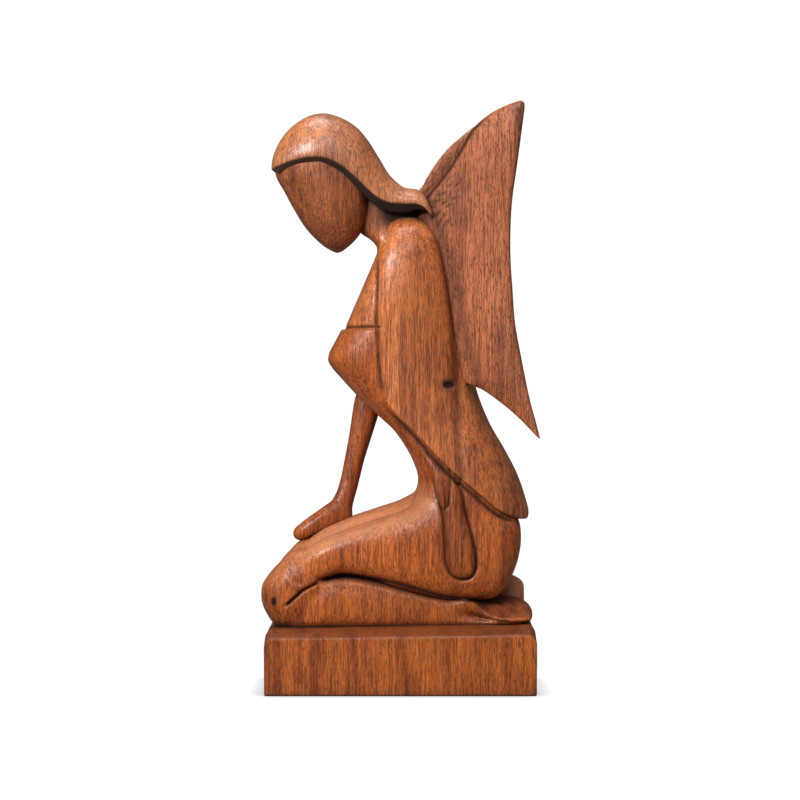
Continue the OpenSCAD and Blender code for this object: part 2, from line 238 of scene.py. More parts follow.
def relax(piece, rounds, keep=None):
    """Moves every vertex towards the mean of its neighbours, by a half each round.

    keep is how much of that each vertex takes, from 0 to 1.
    """
    edges = np.empty(len(piece.data.edges) * 2, np.int64)
    piece.data.edges.foreach_get("vertices", edges)
    a, b = edges.reshape(-1, 2).T
    points = corners(piece)
    count = np.bincount(a, minlength=len(points)) + np.bincount(b, minlength=len(points))
    share = 0.5 if keep is None else 0.5 * keep[:, None]
    for _ in range(rounds):
        total = np.stack([
            np.bincount(a, points[b, k], len(points)) + np.bincount(b, points[a, k], len(points))
            for k in range(3)
        ], 1)
        points = points + share * (total / count[:, None] - points)
    set_corners(piece, points)


# ---- carving: distances to lines drawn on the side of the figure ----


def ease(value, low, high):
    """0 below low, 1 above high, and a smooth rise between."""
    t = np.clip((value - low) / (high - low), 0, 1)
    return t * t * (3 - 2 * t)


def bend(line, steps=12):
    """A few points joined by a smooth curve, as many short chords."""
    return smooth_rows(np.column_stack([line, np.zeros(len(line))]), steps * len(line))[:, :2]


def distance_to(line, x, z):
    """Least distance from each place (x, z) to a line of short chords, and how far along it lies."""
    line = np.asarray(line, float)
    best = np.full(x.shape, 1e9)
    where = np.zeros(x.shape)
    for k in range(len(line) - 1):
        start, step = line[k], line[k + 1] - line[k]
        t = np.clip(((x - start[0]) * step[0] + (z - start[1]) * step[1]) / (step @ step), 0, 1)
        d = np.hypot(x - start[0] - t * step[0], z - start[1] - t * step[1])
        nearer = d < best
        best = np.where(nearer, d, best)
        where = np.where(nearer, (k + t) / (len(line) - 1), where)
    return best, where


def nominal(points):
    """Metres in the frame back to nominal millimetres."""
    share = (np.asarray(points, float) - FRAME_LOW) / (FRAME_HIGH - FRAME_LOW)
    return NOMINAL_LOW + share * (NOMINAL_HIGH - NOMINAL_LOW)


def cut_lines(piece, lines, side):
    """Grooves on one side of a piece, and a mask of how deep in a groove each vertex lies.

    A line is (points, width, depth). The surface sinks along its normal by depth * exp(-(d / width)^2),
    where d is the distance to the line seen from the side, and the groove fades at its two ends. A depth
    below 0 raises a ridge.
    """
    points = corners(piece)
    way = normals(piece)
    flat = nominal(points)
    facing = ease(side * way[:, 1], 0.05, 0.3) * ease(side * flat[:, 1], 0.0, 4.0)
    sink, lift = np.zeros(len(points)), np.zeros(len(points))
    mask = np.zeros(len(points))
    for line, width, depth in lines:
        d, where = distance_to(bend(line), flat[:, 0], flat[:, 2])
        fade = ease(where, -0.02, 0.12) * ease(-where, -1.02, -0.88)
        groove = np.exp(-((d / width) ** 2)) * fade * facing
        sink = np.maximum(sink, groove * depth)
        lift = np.minimum(lift, groove * depth)
        mask = np.maximum(mask, groove)
    set_corners(piece, points - way * ((sink + lift) * MM)[:, None])
    return mask


def set_mask(piece, name, values):
    """A number for every vertex, kept as an attribute that materials read."""
    layer = piece.data.attributes.get(name) or piece.data.attributes.new(name, "FLOAT", "POINT")
    layer.data.foreach_set("value", np.clip(values, 0, 1).astype(np.float32))


def painted_highlight(piece):
    """Painted highlight on what faces up and forward, where the lamps fall, from 0 to 1."""
    way = normals(piece)
    return ease(0.85 * way[:, 2] - 0.35 * way[:, 0] - 0.2 * way[:, 1], 0.35, 0.85)


def spot(piece, x, z, half_wide, half_high, side):
    """A soft round mask on one side of a piece, 1 in the middle and 0 outside."""
    flat = nominal(corners(piece))
    far = np.hypot((flat[:, 0] - x) / half_wide, (flat[:, 2] - z) / half_high)
    return ease(-far, -1.25, -0.75) * ease(side * normals(piece)[:, 1], 0.0, 0.2)


# ---- base ----


def base_points():
    """A block as sections across X with rounded corners, drawn in at its two ends.

    The section is a rectangle whose two top corners are cut by the long slopes. At an end the whole
    section is drawn in along a quarter circle, its top comes down further for the end bevel, and the
    end face is the last section shrunk towards its middle.
    """
    low, high = (np.array(c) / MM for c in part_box("base_block"))
    half_width = (high[1] - low[1]) / 2
    top_front, top_back = 33.5, high[2]
    slope_width, slope_drop = 13.0, 4.2
    end_width, end_drop = 2.6, 3.6
    edge = 0.9
    # How far in from the side and up from the foot of the slope the rounded shoulder runs
    shoulder_in = np.array([0, 0.15, 0.6, 1.3])
    shoulder_up = np.array([-0.9, -0.35, 0.15, 0.45])
    # The same for the soft line where the slope meets the flat top
    crest_in = np.array([slope_width - 1, slope_width + 1])
    crest_down = np.array([0.25, 0])

    def section(x, inset, drop):
        """The outline at x, drawn in by inset, with its top lower by drop."""
        rise = top_front + (top_back - top_front) * (x - low[0]) / (high[0] - low[0]) - drop
        w, top, slope_foot = half_width - inset, rise - inset, rise - slope_drop - inset
        bottom = inset
        turn = np.linspace(0, math.pi / 2, 5)
        outline = []
        for side in (RIGHT, LEFT):
            c, s = np.cos(turn), np.sin(turn)
            foot = np.stack([side * (w - edge + edge * s), bottom + edge - edge * c], 1)
            shoulder = np.stack([side * (w - shoulder_in), slope_foot + shoulder_up], 1)
            crest = np.stack([side * (w - crest_in), top - crest_down], 1)
            half = np.concatenate([foot, shoulder, crest])
            outline.append(half if side == RIGHT else half[::-1])
        corner = np.concatenate(outline)
        closed = np.concatenate([corner, corner[:1]])
        length = np.concatenate(([0.0], np.cumsum(np.hypot(*np.diff(closed, axis=0).T))))
        want = np.linspace(0, length[-1], 220, endpoint=False)
        want = np.sort(np.concatenate([want, length[:-1]]))
        y = np.interp(want, length, closed[:, 0])
        z = np.interp(want, length, closed[:, 1])
        return np.stack([np.full(len(y), x), y, z], 1)

    turn = np.linspace(0, math.pi / 2, 6)
    ends = [(edge * (1 - math.cos(t)), edge * (1 - math.sin(t))) for t in turn]
    stations = []
    for step, inset in ends:
        stations.append((low[0] + step, inset, end_drop * (1 - step / end_width)))
    for x in np.linspace(low[0] + edge, high[0] - edge, 150)[1:-1]:
        near = min(x - low[0], high[0] - x)
        stations.append((x, 0.0, end_drop * max(0.0, 1 - near / end_width)))
    for step, inset in ends[::-1]:
        stations.append((high[0] - step, inset, end_drop * (1 - step / end_width)))
    rings = np.stack([section(*s) for s in stations])
    shrink = np.linspace(0.1, 1, 12)[:-1, None, None]
    first, last = rings[:1], rings[-1:]
    first_middle, last_middle = first.mean(1, keepdims=True), last.mean(1, keepdims=True)
    return np.concatenate([
        first_middle + (first - first_middle) * shrink,
        rings,
        last_middle + (last - last_middle) * shrink[::-1],
    ])


def hand_cut(points, amount, seed):
    """Slow waves of about 20 to 60 mm that make a surface look cut by hand."""
    x, y, z = points.T
    shift = np.array([0.7, 1.9, 3.1]) * seed
    wave = (
        np.sin(x / 9.7 + 0.4 * y / 8 + shift[0]) * np.sin(z / 7.9 + shift[1])
        + 0.7 * np.sin(x / 21 - z / 17 + shift[2]) * np.cos(y / 15 + shift[0])
        + 0.5 * np.sin(x / 4.9 + z / 31 + shift[1]) * np.cos(z / 5.3 + y / 6.1)
    )
    return amount * wave


def make_base():
    """The block, uneven as if cut by hand above its flat foot, darker where it faces up."""
    piece = make_object("base_block_carved", *skin(base_points()), to_frame=lambda points: points * MM)
    points = corners(piece)
    upright = ease(points[:, 2] / MM, 2, 6)
    push = hand_cut(points / MM, 0.12, 1.0) * upright
    way = normals(piece)
    set_corners(piece, points + way * (push * MM)[:, None])
    set_mask(piece, "dark_tone_and_painted_shade", ease(way[:, 2], 0.15, 0.6))
    return piece


# ---- body: trunk below the ledge, thighs and knees in one flowing surface ----

# Height, front, back, half width, power
TORSO = [
    [60, 20, 54, 25, 2.8], [72, 14, 58.5, 29.3, 2.9], [82, 9.5, 61, 30.6, 3.0], [92, 6.2, 60.5, 30, 3.0],
    [101.8, 7.6, 58, 29.6, 3.0], [108.7, 9.5, 54, 29.3, 3.0], [116.6, 7.4, 50, 29.1, 3.0],
    [122, 5, 47, 28.8, 3.0], [127, 2.1, 44, 28.6, 2.9], [135, -3.6, 40, 28.3, 2.8],
    [141, -10, 35, 28.2, 2.7], [147, -16.5, 32, 28.2, 2.6], [154, -23.7, 31, 28.2, 2.6],
    [162, -31, 30, 28, 2.6], [168, -36.2, 29, 27.6, 2.6], [171.7, -38.2, 28, 27.4, 2.6],
    [175, -37.6, 28, 27.4, 2.6], [181, -34.6, 27, 27.3, 2.6], [187.8, -31, 26, 27, 2.6],
]
# Place along X, bottom, top, half width
THIGH = [
    [-56, 62, 64.5, 4], [-53.5, 58, 67.5, 8], [-51, 55.5, 71.5, 11.5], [-44, 56.5, 77, 14.2],
    [-30.5, 60.5, 83, 15.5], [-12, 56.5, 89.3, 16.2], [0, 52.5, 93.3, 16.6], [8, 50.5, 97.5, 16.8],
    [24, 47, 103, 16.8], [40, 47, 100, 16.2], [50, 49, 96, 14.8], [56.4, 57, 94, 12.4],
    [60.8, 67.5, 91, 8.5], [62.6, 76, 86.5, 3.5],
]
KNEE = [
    [-72.5, 48.3, 52, 1.4], [-71.5, 44, 56, 5.5], [-69.5, 40, 59, 9], [-66.5, 35.5, 63, 11.6],
    [-62, 31.5, 67.5, 13.4], [-57, 30.5, 72, 14.5], [-50, 30.5, 74, 14.5], [-45, 32, 74, 13.4],
    [-40, 38, 68, 8.7],
]
# Wood left standing between the legs: height, front, back, half width, power
CORE = [[34, -44, 46, 7, 3], [44, -46, 44, 9, 3], [56, -46, 40, 9, 3], [68, -40, 36, 8, 3]]
LEG_MIDDLE = 15.0
RIGHT_THIGH_RISE, RIGHT_KNEE_RISE, RIGHT_KNEE_SETBACK = 4.5, 4.0, 3.5


def raised(rows, rise, setback=0.0):
    """Rows of a leg with a higher top, set back; where the section is thin, it rises less."""
    rows = np.array(rows, float)
    share = np.minimum(1, rows[:, 3] / rows[:, 3].max())
    rows[:, 0] += setback
    rows[:, 2] += rise * share
    return rows


# Lines carved into the side, as places (x, z)
KNEE_CREASE_FRONT = [(-58.6, 64.6), (-56.5, 60.6), (-53.4, 57.4), (-50.2, 56)]
KNEE_CREASE_BACK = [(-50.3, 56.2), (-51.6, 60.5), (-51.4, 65.5), (-49.6, 69.8), (-45.9, 73.4)]
KNEE_SLIT = [(-59.6, 44.6), (-56.5, 47.4), (-53, 50.6), (-50, 53.2), (-46, 55.4), (-41, 57.8)]
HAND_OUTLINE = [
    (11.6, 126), (15, 119), (18.4, 108), (20.7, 98), (22, 90), (22.8, 76), (23.6, 66), (26.4, 61.2),
    (31, 58.8), (36, 59.9), (38.6, 64), (38.8, 71), (36.6, 82), (34.4, 90), (32.8, 97), (31.8, 105),
    (31.2, 112),
]
FOLD_NOTCH = [(11.4, 126.5), (14.8, 118.5), (18.4, 108), (20.6, 99)]
THIGH_CREASE = [
    (-46, 56.5), (-41, 58), (-28, 60), (-20.4, 59.5), (0.2, 55.9), (20.8, 49.9), (36.2, 47.9), (46.5, 49),
]
UNDER_HEM = [
    (-9.6, 149), (-6.4, 145), (4.6, 133.6), (23.2, 114.4), (39, 100.8), (51.2, 91.4), (58, 88.4), (64, 86.8),
]
SLEEVE_LINE = [(-12, 228), (-12.2, 215), (-12.2, 193), (-11.6, 178), (-10.4, 163), (-9.2, 150.5)]


def make_body():
    """Trunk and thighs melted into one surface, relaxed so that lap and hips flow, then cut."""
    trunk = skin(sections_up(TORSO, rings=120, count=96))
    core = skin(sections_up(CORE, rings=40, count=48))
    thighs = [
        skin(sections_along(rows, y=side * LEG_MIDDLE, upper=2.8, lower=3.1, rings=80, count=64))
        for side, rows in ((LEFT, THIGH), (RIGHT, raised(THIGH, RIGHT_THIGH_RISE)))
    ]
    piece = make_object("body_carved", *joined(trunk, core, *thighs))
    melt_together(piece, 0.8)
    flat = nominal(corners(piece))
    relax(piece, 3)
    relax(piece, 14, keep=ease(-flat[:, 2], -178, -160))
    relax(piece, 50, keep=ease(-flat[:, 2], -116, -106) * ease(flat[:, 2], 78, 90) * ease(flat[:, 0], -6, 6))
    lines = [(SLEEVE_LINE, 0.9, 1.0), (UNDER_HEM, 1.2, 1.5)]
    near_lines = [*lines, (FOLD_NOTCH, 1.5, 1.6), (KNEE_CREASE_BACK, 0.8, 0.6), (HAND_OUTLINE, 0.85, 1.5),
                  (THIGH_CREASE, 1.5, 0.4)]
    # The groove mask darkens these lines: staining plus painted shade under the hem, round the hand and along
    # the thigh crease.
    mask = np.maximum(cut_lines(piece, near_lines, LEFT), cut_lines(piece, lines, RIGHT))
    set_mask(piece, "groove_staining_and_painted_shade", mask)
    height = nominal(corners(piece))[:, 2]
    # Painted highlight along the tops of the thighs and the lap.
    set_mask(piece, "painted_highlight", 1.25 * painted_highlight(piece) * ease(-height, -120, -108))
    # Darker towards the top of the trunk.
    set_mask(piece, "dark_tone_and_painted_shade", 0.35 * ease(height, 150, 172))
    return piece


# ---- knees, lower legs and feet ----

# Place along X, bottom, top, half width, distance of its middle from the middle plane
LOWER_LEG = [
    [-61, 36, 42, 6, 15], [-58, 32.5, 46, 10, 15], [-52, 30.8, 51.6, 12.8, 15], [-45, 30.6, 57.2, 13.6, 15],
    [-34, 30.6, 61, 13.9, 15], [-20, 30.6, 60, 13.6, 15], [-8, 30.6, 57.4, 13, 15], [4, 30.6, 54, 12, 15],
    [14, 30.8, 51, 11.2, 14.6], [24, 31, 49.6, 10.6, 14], [31, 31.4, 50.6, 11.2, 13.6],
    [36, 31.6, 50.8, 12, 13.4], [41, 31.6, 49.6, 12.6, 13.2], [46, 31.8, 48.2, 13.2, 13.2],
    [51, 32, 47.6, 13.6, 13.4], [56, 32.6, 47.2, 13.8, 13.5], [61, 33.4, 46.2, 13.4, 13.5],
    [65, 34.6, 44.8, 11.4, 13.5], [67.6, 36.8, 43.2, 8, 13.5], [68.6, 38.8, 41.8, 3, 13.5],
]
FAR_FOOT_RISE, FAR_FOOT_SETBACK = 12.5, 3.0
KNEE_KNOT = (-65.2, 47.3)
SOLE_LIP = [(31, 48.5), (38, 47.5), (43.4, 45), (49, 42.2), (55, 40.6), (66, 39.6)]
CALF_RIDGE = [(-50.8, 51.8), (-42, 55.2), (-31.2, 56.6), (-18, 55.2), (-3, 51.4), (12, 47.8), (27, 45)]


def make_leg(side, name):
    """Knee, calf and foot melted into one surface; the right one stops short and its foot stands higher."""
    rows = np.array(LOWER_LEG, float)
    knee = KNEE
    if side == RIGHT:
        toward_foot = ease(rows[:, 0], 18, 44)
        rows[:, 0] -= FAR_FOOT_SETBACK * toward_foot
        rows[:, 2] += FAR_FOOT_RISE * toward_foot
        knee = raised(KNEE, RIGHT_KNEE_RISE, RIGHT_KNEE_SETBACK)
    rows[:, 4] *= side
    calf = skin(sections_along(rows, upper=2.4, lower=3.0, rings=150, count=80))
    bulb = skin(sections_along(knee, y=side * LEG_MIDDLE, upper=2.3, lower=2.3, rings=60, count=64))
    piece = make_object(name, *joined(calf, bulb))
    melt_together(piece, 0.7)
    relax(piece, 12)
    shape_foot(piece, side)
    lift = np.array([RIGHT_KNEE_SETBACK, RIGHT_KNEE_RISE]) * (side == RIGHT)
    slit = np.array(KNEE_SLIT) + lift
    crease = np.array(KNEE_CREASE_FRONT) + lift
    cut_lines(piece, [(crease, 1.3, 0.5), (CALF_RIDGE, 2.0, -0.8)], side)
    x = nominal(corners(piece))[:, 0]
    # The slit and the thigh crease are darkened: staining plus painted shade in the cuts.
    lines = [(slit, 0.7, 2.4)]
    if side == LEFT:
        # Painted highlight on the knee.
        set_mask(piece, "painted_highlight", 0.45 * painted_highlight(piece) * ease(-x, -38, -26))
        lines.append((THIGH_CREASE, 1.3, 0.4))
    else:
        # Painted highlight on the lit top of the far foot.
        painted_sole_highlight = ease(x, 45, 52) * ease(normals(piece)[:, 2], -0.2, 0.5)
        set_mask(piece, "painted_highlight", 0.45 * painted_highlight(piece) + 0.9 * painted_sole_highlight)
    set_mask(piece, "groove_staining_and_painted_shade", cut_lines(piece, lines, side))
    if side == LEFT:
        set_mask(piece, "knot_and_painted_shade", spot(piece, *KNEE_KNOT, 1.4, 2.4, LEFT))
    return piece


def shape_foot(piece, side):
    """Leans the sole so that both feet make one slope, hollows the arch and raises the ankle."""
    points, way = corners(piece), normals(piece)
    flat = nominal(points)
    x, y, z = flat.T
    lift = FAR_FOOT_RISE * (side == RIGHT)
    back = ease(x, 28, 46)
    inward = np.clip(1 - side * y / 27.0, 0, 1)
    lean = (0.92 * inward - 0.5) if side == LEFT else (0.1 - 0.35 * inward)
    points[:, 2] += back * lean * np.maximum(z - 35, 0) * MM
    outer = ease(side * way[:, 1], 0.1, 0.6)
    arch = np.hypot((x - 39) / 8.0, (z - 40.5) / 3.6)
    hollow = 3.2 * np.exp(-(arch**2)) * outer
    ankle = 1.6 * np.exp(-(((x - 34) / 5.5) ** 2) - ((z - 47.2 - lift) / 2.6) ** 2)
    ridge, _ = distance_to(bend(SOLE_LIP), x, z - lift)
    lip = 1.0 * np.exp(-((ridge / 1.6) ** 2)) * outer * ease(x, 28, 34)
    points = points + way * ((ankle + lip - hollow + hand_cut(flat, 0.08, 2.3)) * MM)[:, None]
    set_corners(piece, points)
    if side == LEFT:
        # Painted shade on the left sole where the hips shade it, darker in its tool cuts, in the arch under
        # the ankle and along the bottom where the leg meets the base.
        sole = back * ease(way[:, 2], 0.2, 0.7)
        cuts = np.sin((0.8 * x + 0.6 * y) / 1.3 + np.sin(x / 2.9)) * np.sin((y - 0.3 * x) / 2.3)
        set_corners(piece, points - way * (0.3 * sole * (0.5 + 0.5 * cuts) * MM)[:, None])
        set_mask(piece, "tool_marks_and_painted_shade", 0.7 * sole * (0.35 + 0.65 * ease(cuts, -0.2, 0.8)))
        painted_foot_shade = 0.5 * sole + np.exp(-(arch**2)) * outer
        set_mask(piece, "dark_tone_and_painted_shade", painted_foot_shade + ease(-z, -37.5, -34.5))


# ---- chest, neck and head ----

CHEST_AND_NECK = [
    [182, -29.6, 24, 25.6, 2.7], [188.5, -28.8, 24, 25.8, 2.7], [196, -25.9, 23, 26.2, 2.8],
    [205, -22, 22, 26.2, 2.9], [212, -19, 20, 25.4, 3.0], [219, -16, 18, 23.6, 3.0],
    [225, -13.5, 15, 19.4, 2.8], [228, -12.4, 13, 16, 2.6], [231, -12.6, 12, 12.6, 2.4],
    [235, -16, 12, 9.8, 2.4],
    [238, -20.5, 12.5, 8.6, 2.3], [244, -24, 13, 8.2, 2.3], [250, -27, 12, 8.2, 2.3], [256, -30, 8, 8, 2.3],
]
HEAD = [
    [228.1, -34, -32.4, 2.2, 2.3], [228.8, -35.8, -30.8, 5.4, 2.4], [230.4, -38.8, -28.6, 9, 2.5],
    [235, -44.6, -23.5, 13.6, 2.5], [241, -49.9, -19.5, 16.8, 2.4], [249, -54.9, -17, 18.9, 2.3],
    [259, -60.4, -15, 20, 2.3], [268, -65.2, -15, 20.4, 2.3], [275, -66.2, -18, 20, 2.3],
    [283, -60, -24, 16.4, 2.3], [289, -52, -34, 8, 2.3],
]
CHEEK_RIDGE = [(-42, 279), (-39, 262), (-33, 248), (-27, 236)]
# Place along X, height of the edge, top, half width at the edge
HAIR = [
    [-67.5, 272.4, 275.8, 3.6], [-66.8, 272.2, 279, 8.5], [-65, 272.6, 283.6, 13], [-62, 273.7, 288.6, 16.6],
    [-54.5, 276, 296, 20.8], [-47, 277.3, 300, 22.8], [-40, 277, 301, 23.5], [-32, 273.6, 299, 23.3],
    [-23.7, 267, 294.2, 22.3], [-17, 260.6, 286.8, 20.4], [-11, 256, 277.4, 18.6], [-5, 253.9, 267.8, 17],
    [2, 253.4, 262.2, 16.6], [9, 252.9, 261, 16.4], [12.6, 251.2, 258.4, 16.2], [14.8, 248.6, 255, 15.6],
    [16.4, 246.8, 251.4, 14], [17.4, 245.8, 248.8, 10.5], [17.8, 245.6, 247.4, 6],
]


def hair_sections(rings=150, dome=70):
    """A cap whose section is a dome standing on a crisp edge, with a cove cut in under the edge.

    The dome is a half ellipse from edge to edge. Under the edge the surface turns in and down, by the
    cove's depth, and closes inside the head.
    """
    r = smooth_rows(HAIR, rings)
    x, edge, top, half = r.T[:, :, None]
    turn = np.linspace(0, math.pi, dome)[None, :]
    y = half * signed_power(np.cos(turn), 2 / 2.15)
    z = edge + (top - edge) * signed_power(np.sin(turn), 2 / 2.0)
    cove = 4.2 * ease(-x, -17, 0) * ease(x, -67.6, -62) + 0.8
    shares = np.array([0.06, 0.2, 0.5, 0.8, 1.0])[None, :]
    drop = np.array([0.22, 0.34, 0.62, 0.86, 1.0])[None, :]
    left_y, left_z = -(half - cove * shares), edge - cove * drop
    inner = np.linspace(-1, 1, 12)[None, 1:-1]
    inner_y, inner_z = inner * (half - cove), edge - cove + 0 * inner
    all_y = np.concatenate([y, left_y, inner_y, -left_y[:, ::-1]], 1)
    all_z = np.concatenate([z, left_z, inner_z, left_z[:, ::-1]], 1)
    return np.stack([x + 0 * all_y, all_y, all_z], -1)


def make_hair():
    """The cap of hair, with painted shade in the cove under its edge."""
    piece = make_object("hair_carved", *skin(hair_sections()))
    flat = nominal(corners(piece))
    rows = smooth_rows(HAIR, 200)
    under = np.interp(flat[:, 0], rows[:, 0], rows[:, 1]) - flat[:, 2]
    # Painted shade in the cove under the edge, deepest towards the back.
    set_mask(piece, "groove_staining_and_painted_shade", ease(under, 0.1, 0.9))
    set_mask(piece, "knot_and_painted_shade", ease(under, 0.1, 0.8) * ease(flat[:, 0], -46, -24))
    points, way = corners(piece), normals(piece)
    set_corners(piece, points + way * (hand_cut(flat, 0.12, 3.3) * MM)[:, None])
    return piece


def make_chest():
    """Chest and neck as one loft, with a groove at the foot of the chest and one along each sleeve."""
    piece = make_object("chest_and_neck_carved", *skin(sections_up(CHEST_AND_NECK, rings=170, count=200)))
    ledge = [(-32, 188.6), (-20, 188.7), (-6, 188.7)]
    lines = [(SLEEVE_LINE, 0.9, 0.8), (ledge, 0.7, 0.8)]
    mask = np.maximum(cut_lines(piece, lines, LEFT), cut_lines(piece, lines, RIGHT))
    flat = nominal(corners(piece))
    # Painted shade on the nape and the neck, under the hair.
    nape = ease(flat[:, 2], 239, 247) * ease(flat[:, 0], -14, -6)
    set_mask(piece, "groove_staining_and_painted_shade", np.maximum(mask, nape))
    set_mask(piece, "knot_and_painted_shade", 0.9 * nape)
    set_mask(piece, "dark_tone_and_painted_shade", 0.8 * ease(flat[:, 2], 231, 244))
    return piece


def make_head():
    """The smooth faceless head; a soft ridge runs down each side where two planes of the cut meet."""
    piece = make_object("face_carved", *skin(sections_up(HEAD, rings=120, count=110)))
    points, way = corners(piece), normals(piece)
    flat = nominal(points)
    push = hand_cut(flat, 0.1, 0.6)
    d, _ = distance_to(bend(CHEEK_RIDGE), flat[:, 0], flat[:, 2])
    for side in (LEFT, RIGHT):
        push = push + 0.7 * np.exp(-((d / 3.2) ** 2)) * ease(side * way[:, 1], 0.2, 0.7)
    set_corners(piece, points + way * (push * MM)[:, None])
    return piece


# ---- cape ----

# Height, front, back, half width
CAPE = [
    [84, 10, 64.5, 29], [88.6, 2, 66.6, 31.6], [92, -2, 67.2, 32.4], [100, -8, 65.4, 32.8],
    [112, -16, 61.3, 32.6], [125, -24, 54.6, 32.2], [138, -28, 47.2, 31.4], [155, -30, 40.2, 30.8],
    [173, -30, 36.2, 30.4], [192, -30, 32, 30.4], [210, -28, 28.5, 29.8], [224, -23, 25, 27.8],
    [231, -19, 23, 25.8], [236, -14, 20.6, 23.2], [240, -10, 17.8, 20], [243, -6.6, 14.8, 16],
    [245.4, -3, 11.4, 11], [246.6, 0.4, 8, 6], [246.9, 2.4, 6, 2],
]
CAPE_FRONT = [
    (-8, 84), (-8, 150), (-9.2, 162), (-10.2, 173), (-10.9, 186), (-11, 200), (-10.8, 215), (-10.2, 224),
    (-9.2, 230), (-8, 235), (-6.6, 240), (-4, 248),
]
CAPE_HEM = [
    (-8, 150.5), (-5, 146.6), (6, 135.6), (24.6, 116.4), (40.4, 102.9), (52.2, 93.6), (58, 90.6), (62, 89.2),
    (66.5, 88.6),
]
CAPE_POWER = 2.4
CAPE_WALL = 3.0
CAPE_KNOT = (25, 158.9)


def cape_grid(across=111, down=150):
    """Half of the cape, from its front edge to the middle of the back.

    At a height z the sheet follows a rounded section between front and back; the share p runs along X
    from the front edge to the back as sin(p * 90 degrees), and q runs from the top down to the hem, whose
    height at each p is found by halving.
    """
    table = smooth_rows(CAPE, 400)
    front_edge = np.array(CAPE_FRONT)
    hem = bend(CAPE_HEM, 20)

    def at(z):
        """Front, back, half width and front edge of the cape at a height."""
        front = np.interp(z, table[:, 0], table[:, 1])
        back = np.interp(z, table[:, 0], table[:, 2])
        half = np.interp(z, table[:, 0], table[:, 3])
        edge = np.maximum(np.interp(z, front_edge[:, 1], front_edge[:, 0]), front)
        return front, back, half, edge

    p = np.concatenate([[0.0, 0.004, 0.01, 0.018], np.linspace(0.028, 1, across - 4)])
    share = np.sin(p * math.pi / 2)
    low, high = np.full(p.shape, 86.0), np.full(p.shape, 152.0)
    for _ in range(40):
        z = (low + high) / 2
        _, back, _, edge = at(z)
        under = z < np.interp(edge + share * (back - edge), hem[:, 0], hem[:, 1])
        low, high = np.where(under, z, low), np.where(under, high, z)
    z_hem = (low + high) / 2
    z_top = CAPE[-1][0]
    q = 1 - np.concatenate([[0.0, 0.0015, 0.004, 0.008, 0.014], np.linspace(0.022, 1, down - 5)])[::-1]
    q = q[:, None]
    z = z_top + (z_hem - z_top)[None, :] * q
    front, back, half, edge = at(z)
    x = edge + share[None, :] * (back - edge)
    c = np.clip((x - (front + back) / 2) / ((back - front) / 2), -1, 1)
    s = (1 - np.abs(c) ** CAPE_POWER) ** (1 / CAPE_POWER)
    return np.stack([x, half * s, z], -1)


def grid_normals(grid):
    """Unit normals of a grid of points, from the cross of its two central differences."""
    down, along = np.gradient(grid, axis=0), np.gradient(grid, axis=1)
    n = np.cross(along, down)
    return n / np.maximum(np.linalg.norm(n, axis=-1, keepdims=True), 1e-9)


SLEEVE_RIDGE = [(2, 240), (2.5, 215), (3, 190), (3, 160), (4, 140)]
SLEEVE_VALLEY = [
    (16, 242), (19.5, 236), (22, 229), (25.4, 212), (27.6, 198), (28.8, 180), (29.4, 160), (30, 138),
    (31, 112),
]


def sleeve_relief(x, z):
    """Height added to the cape: a soft ridge down the upper arm and a soft valley behind it."""
    ridge, along_ridge = distance_to(bend(SLEEVE_RIDGE), x, z)
    valley, along_valley = distance_to(bend(SLEEVE_VALLEY), x, z)
    up = 0.9 * np.exp(-((ridge / 7.0) ** 2)) * ease(along_ridge, 0, 0.15) * ease(-along_ridge, -1, -0.8)
    down = 1.3 * np.exp(-((valley / 2.4) ** 2)) * ease(along_valley, -0.05, 0.2)
    return up - down * (1 - 0.5 * ease(-z, -165, -140))


def edge_distances(sheet):
    """How far each point lies from the hem and from the nearer front edge, measured along the sheet."""
    hem_far = np.cumsum(np.linalg.norm(np.diff(sheet, axis=0), axis=-1)[::-1], 0)[::-1]
    hem_far = np.concatenate([hem_far, np.zeros((1, sheet.shape[1]))])
    row_step = np.linalg.norm(np.diff(sheet, axis=1), axis=-1)
    from_left = np.concatenate([np.zeros((len(sheet), 1)), np.cumsum(row_step, 1)], 1)
    from_right = from_left[:, -1:] - from_left
    return hem_far, np.minimum(from_left, from_right)


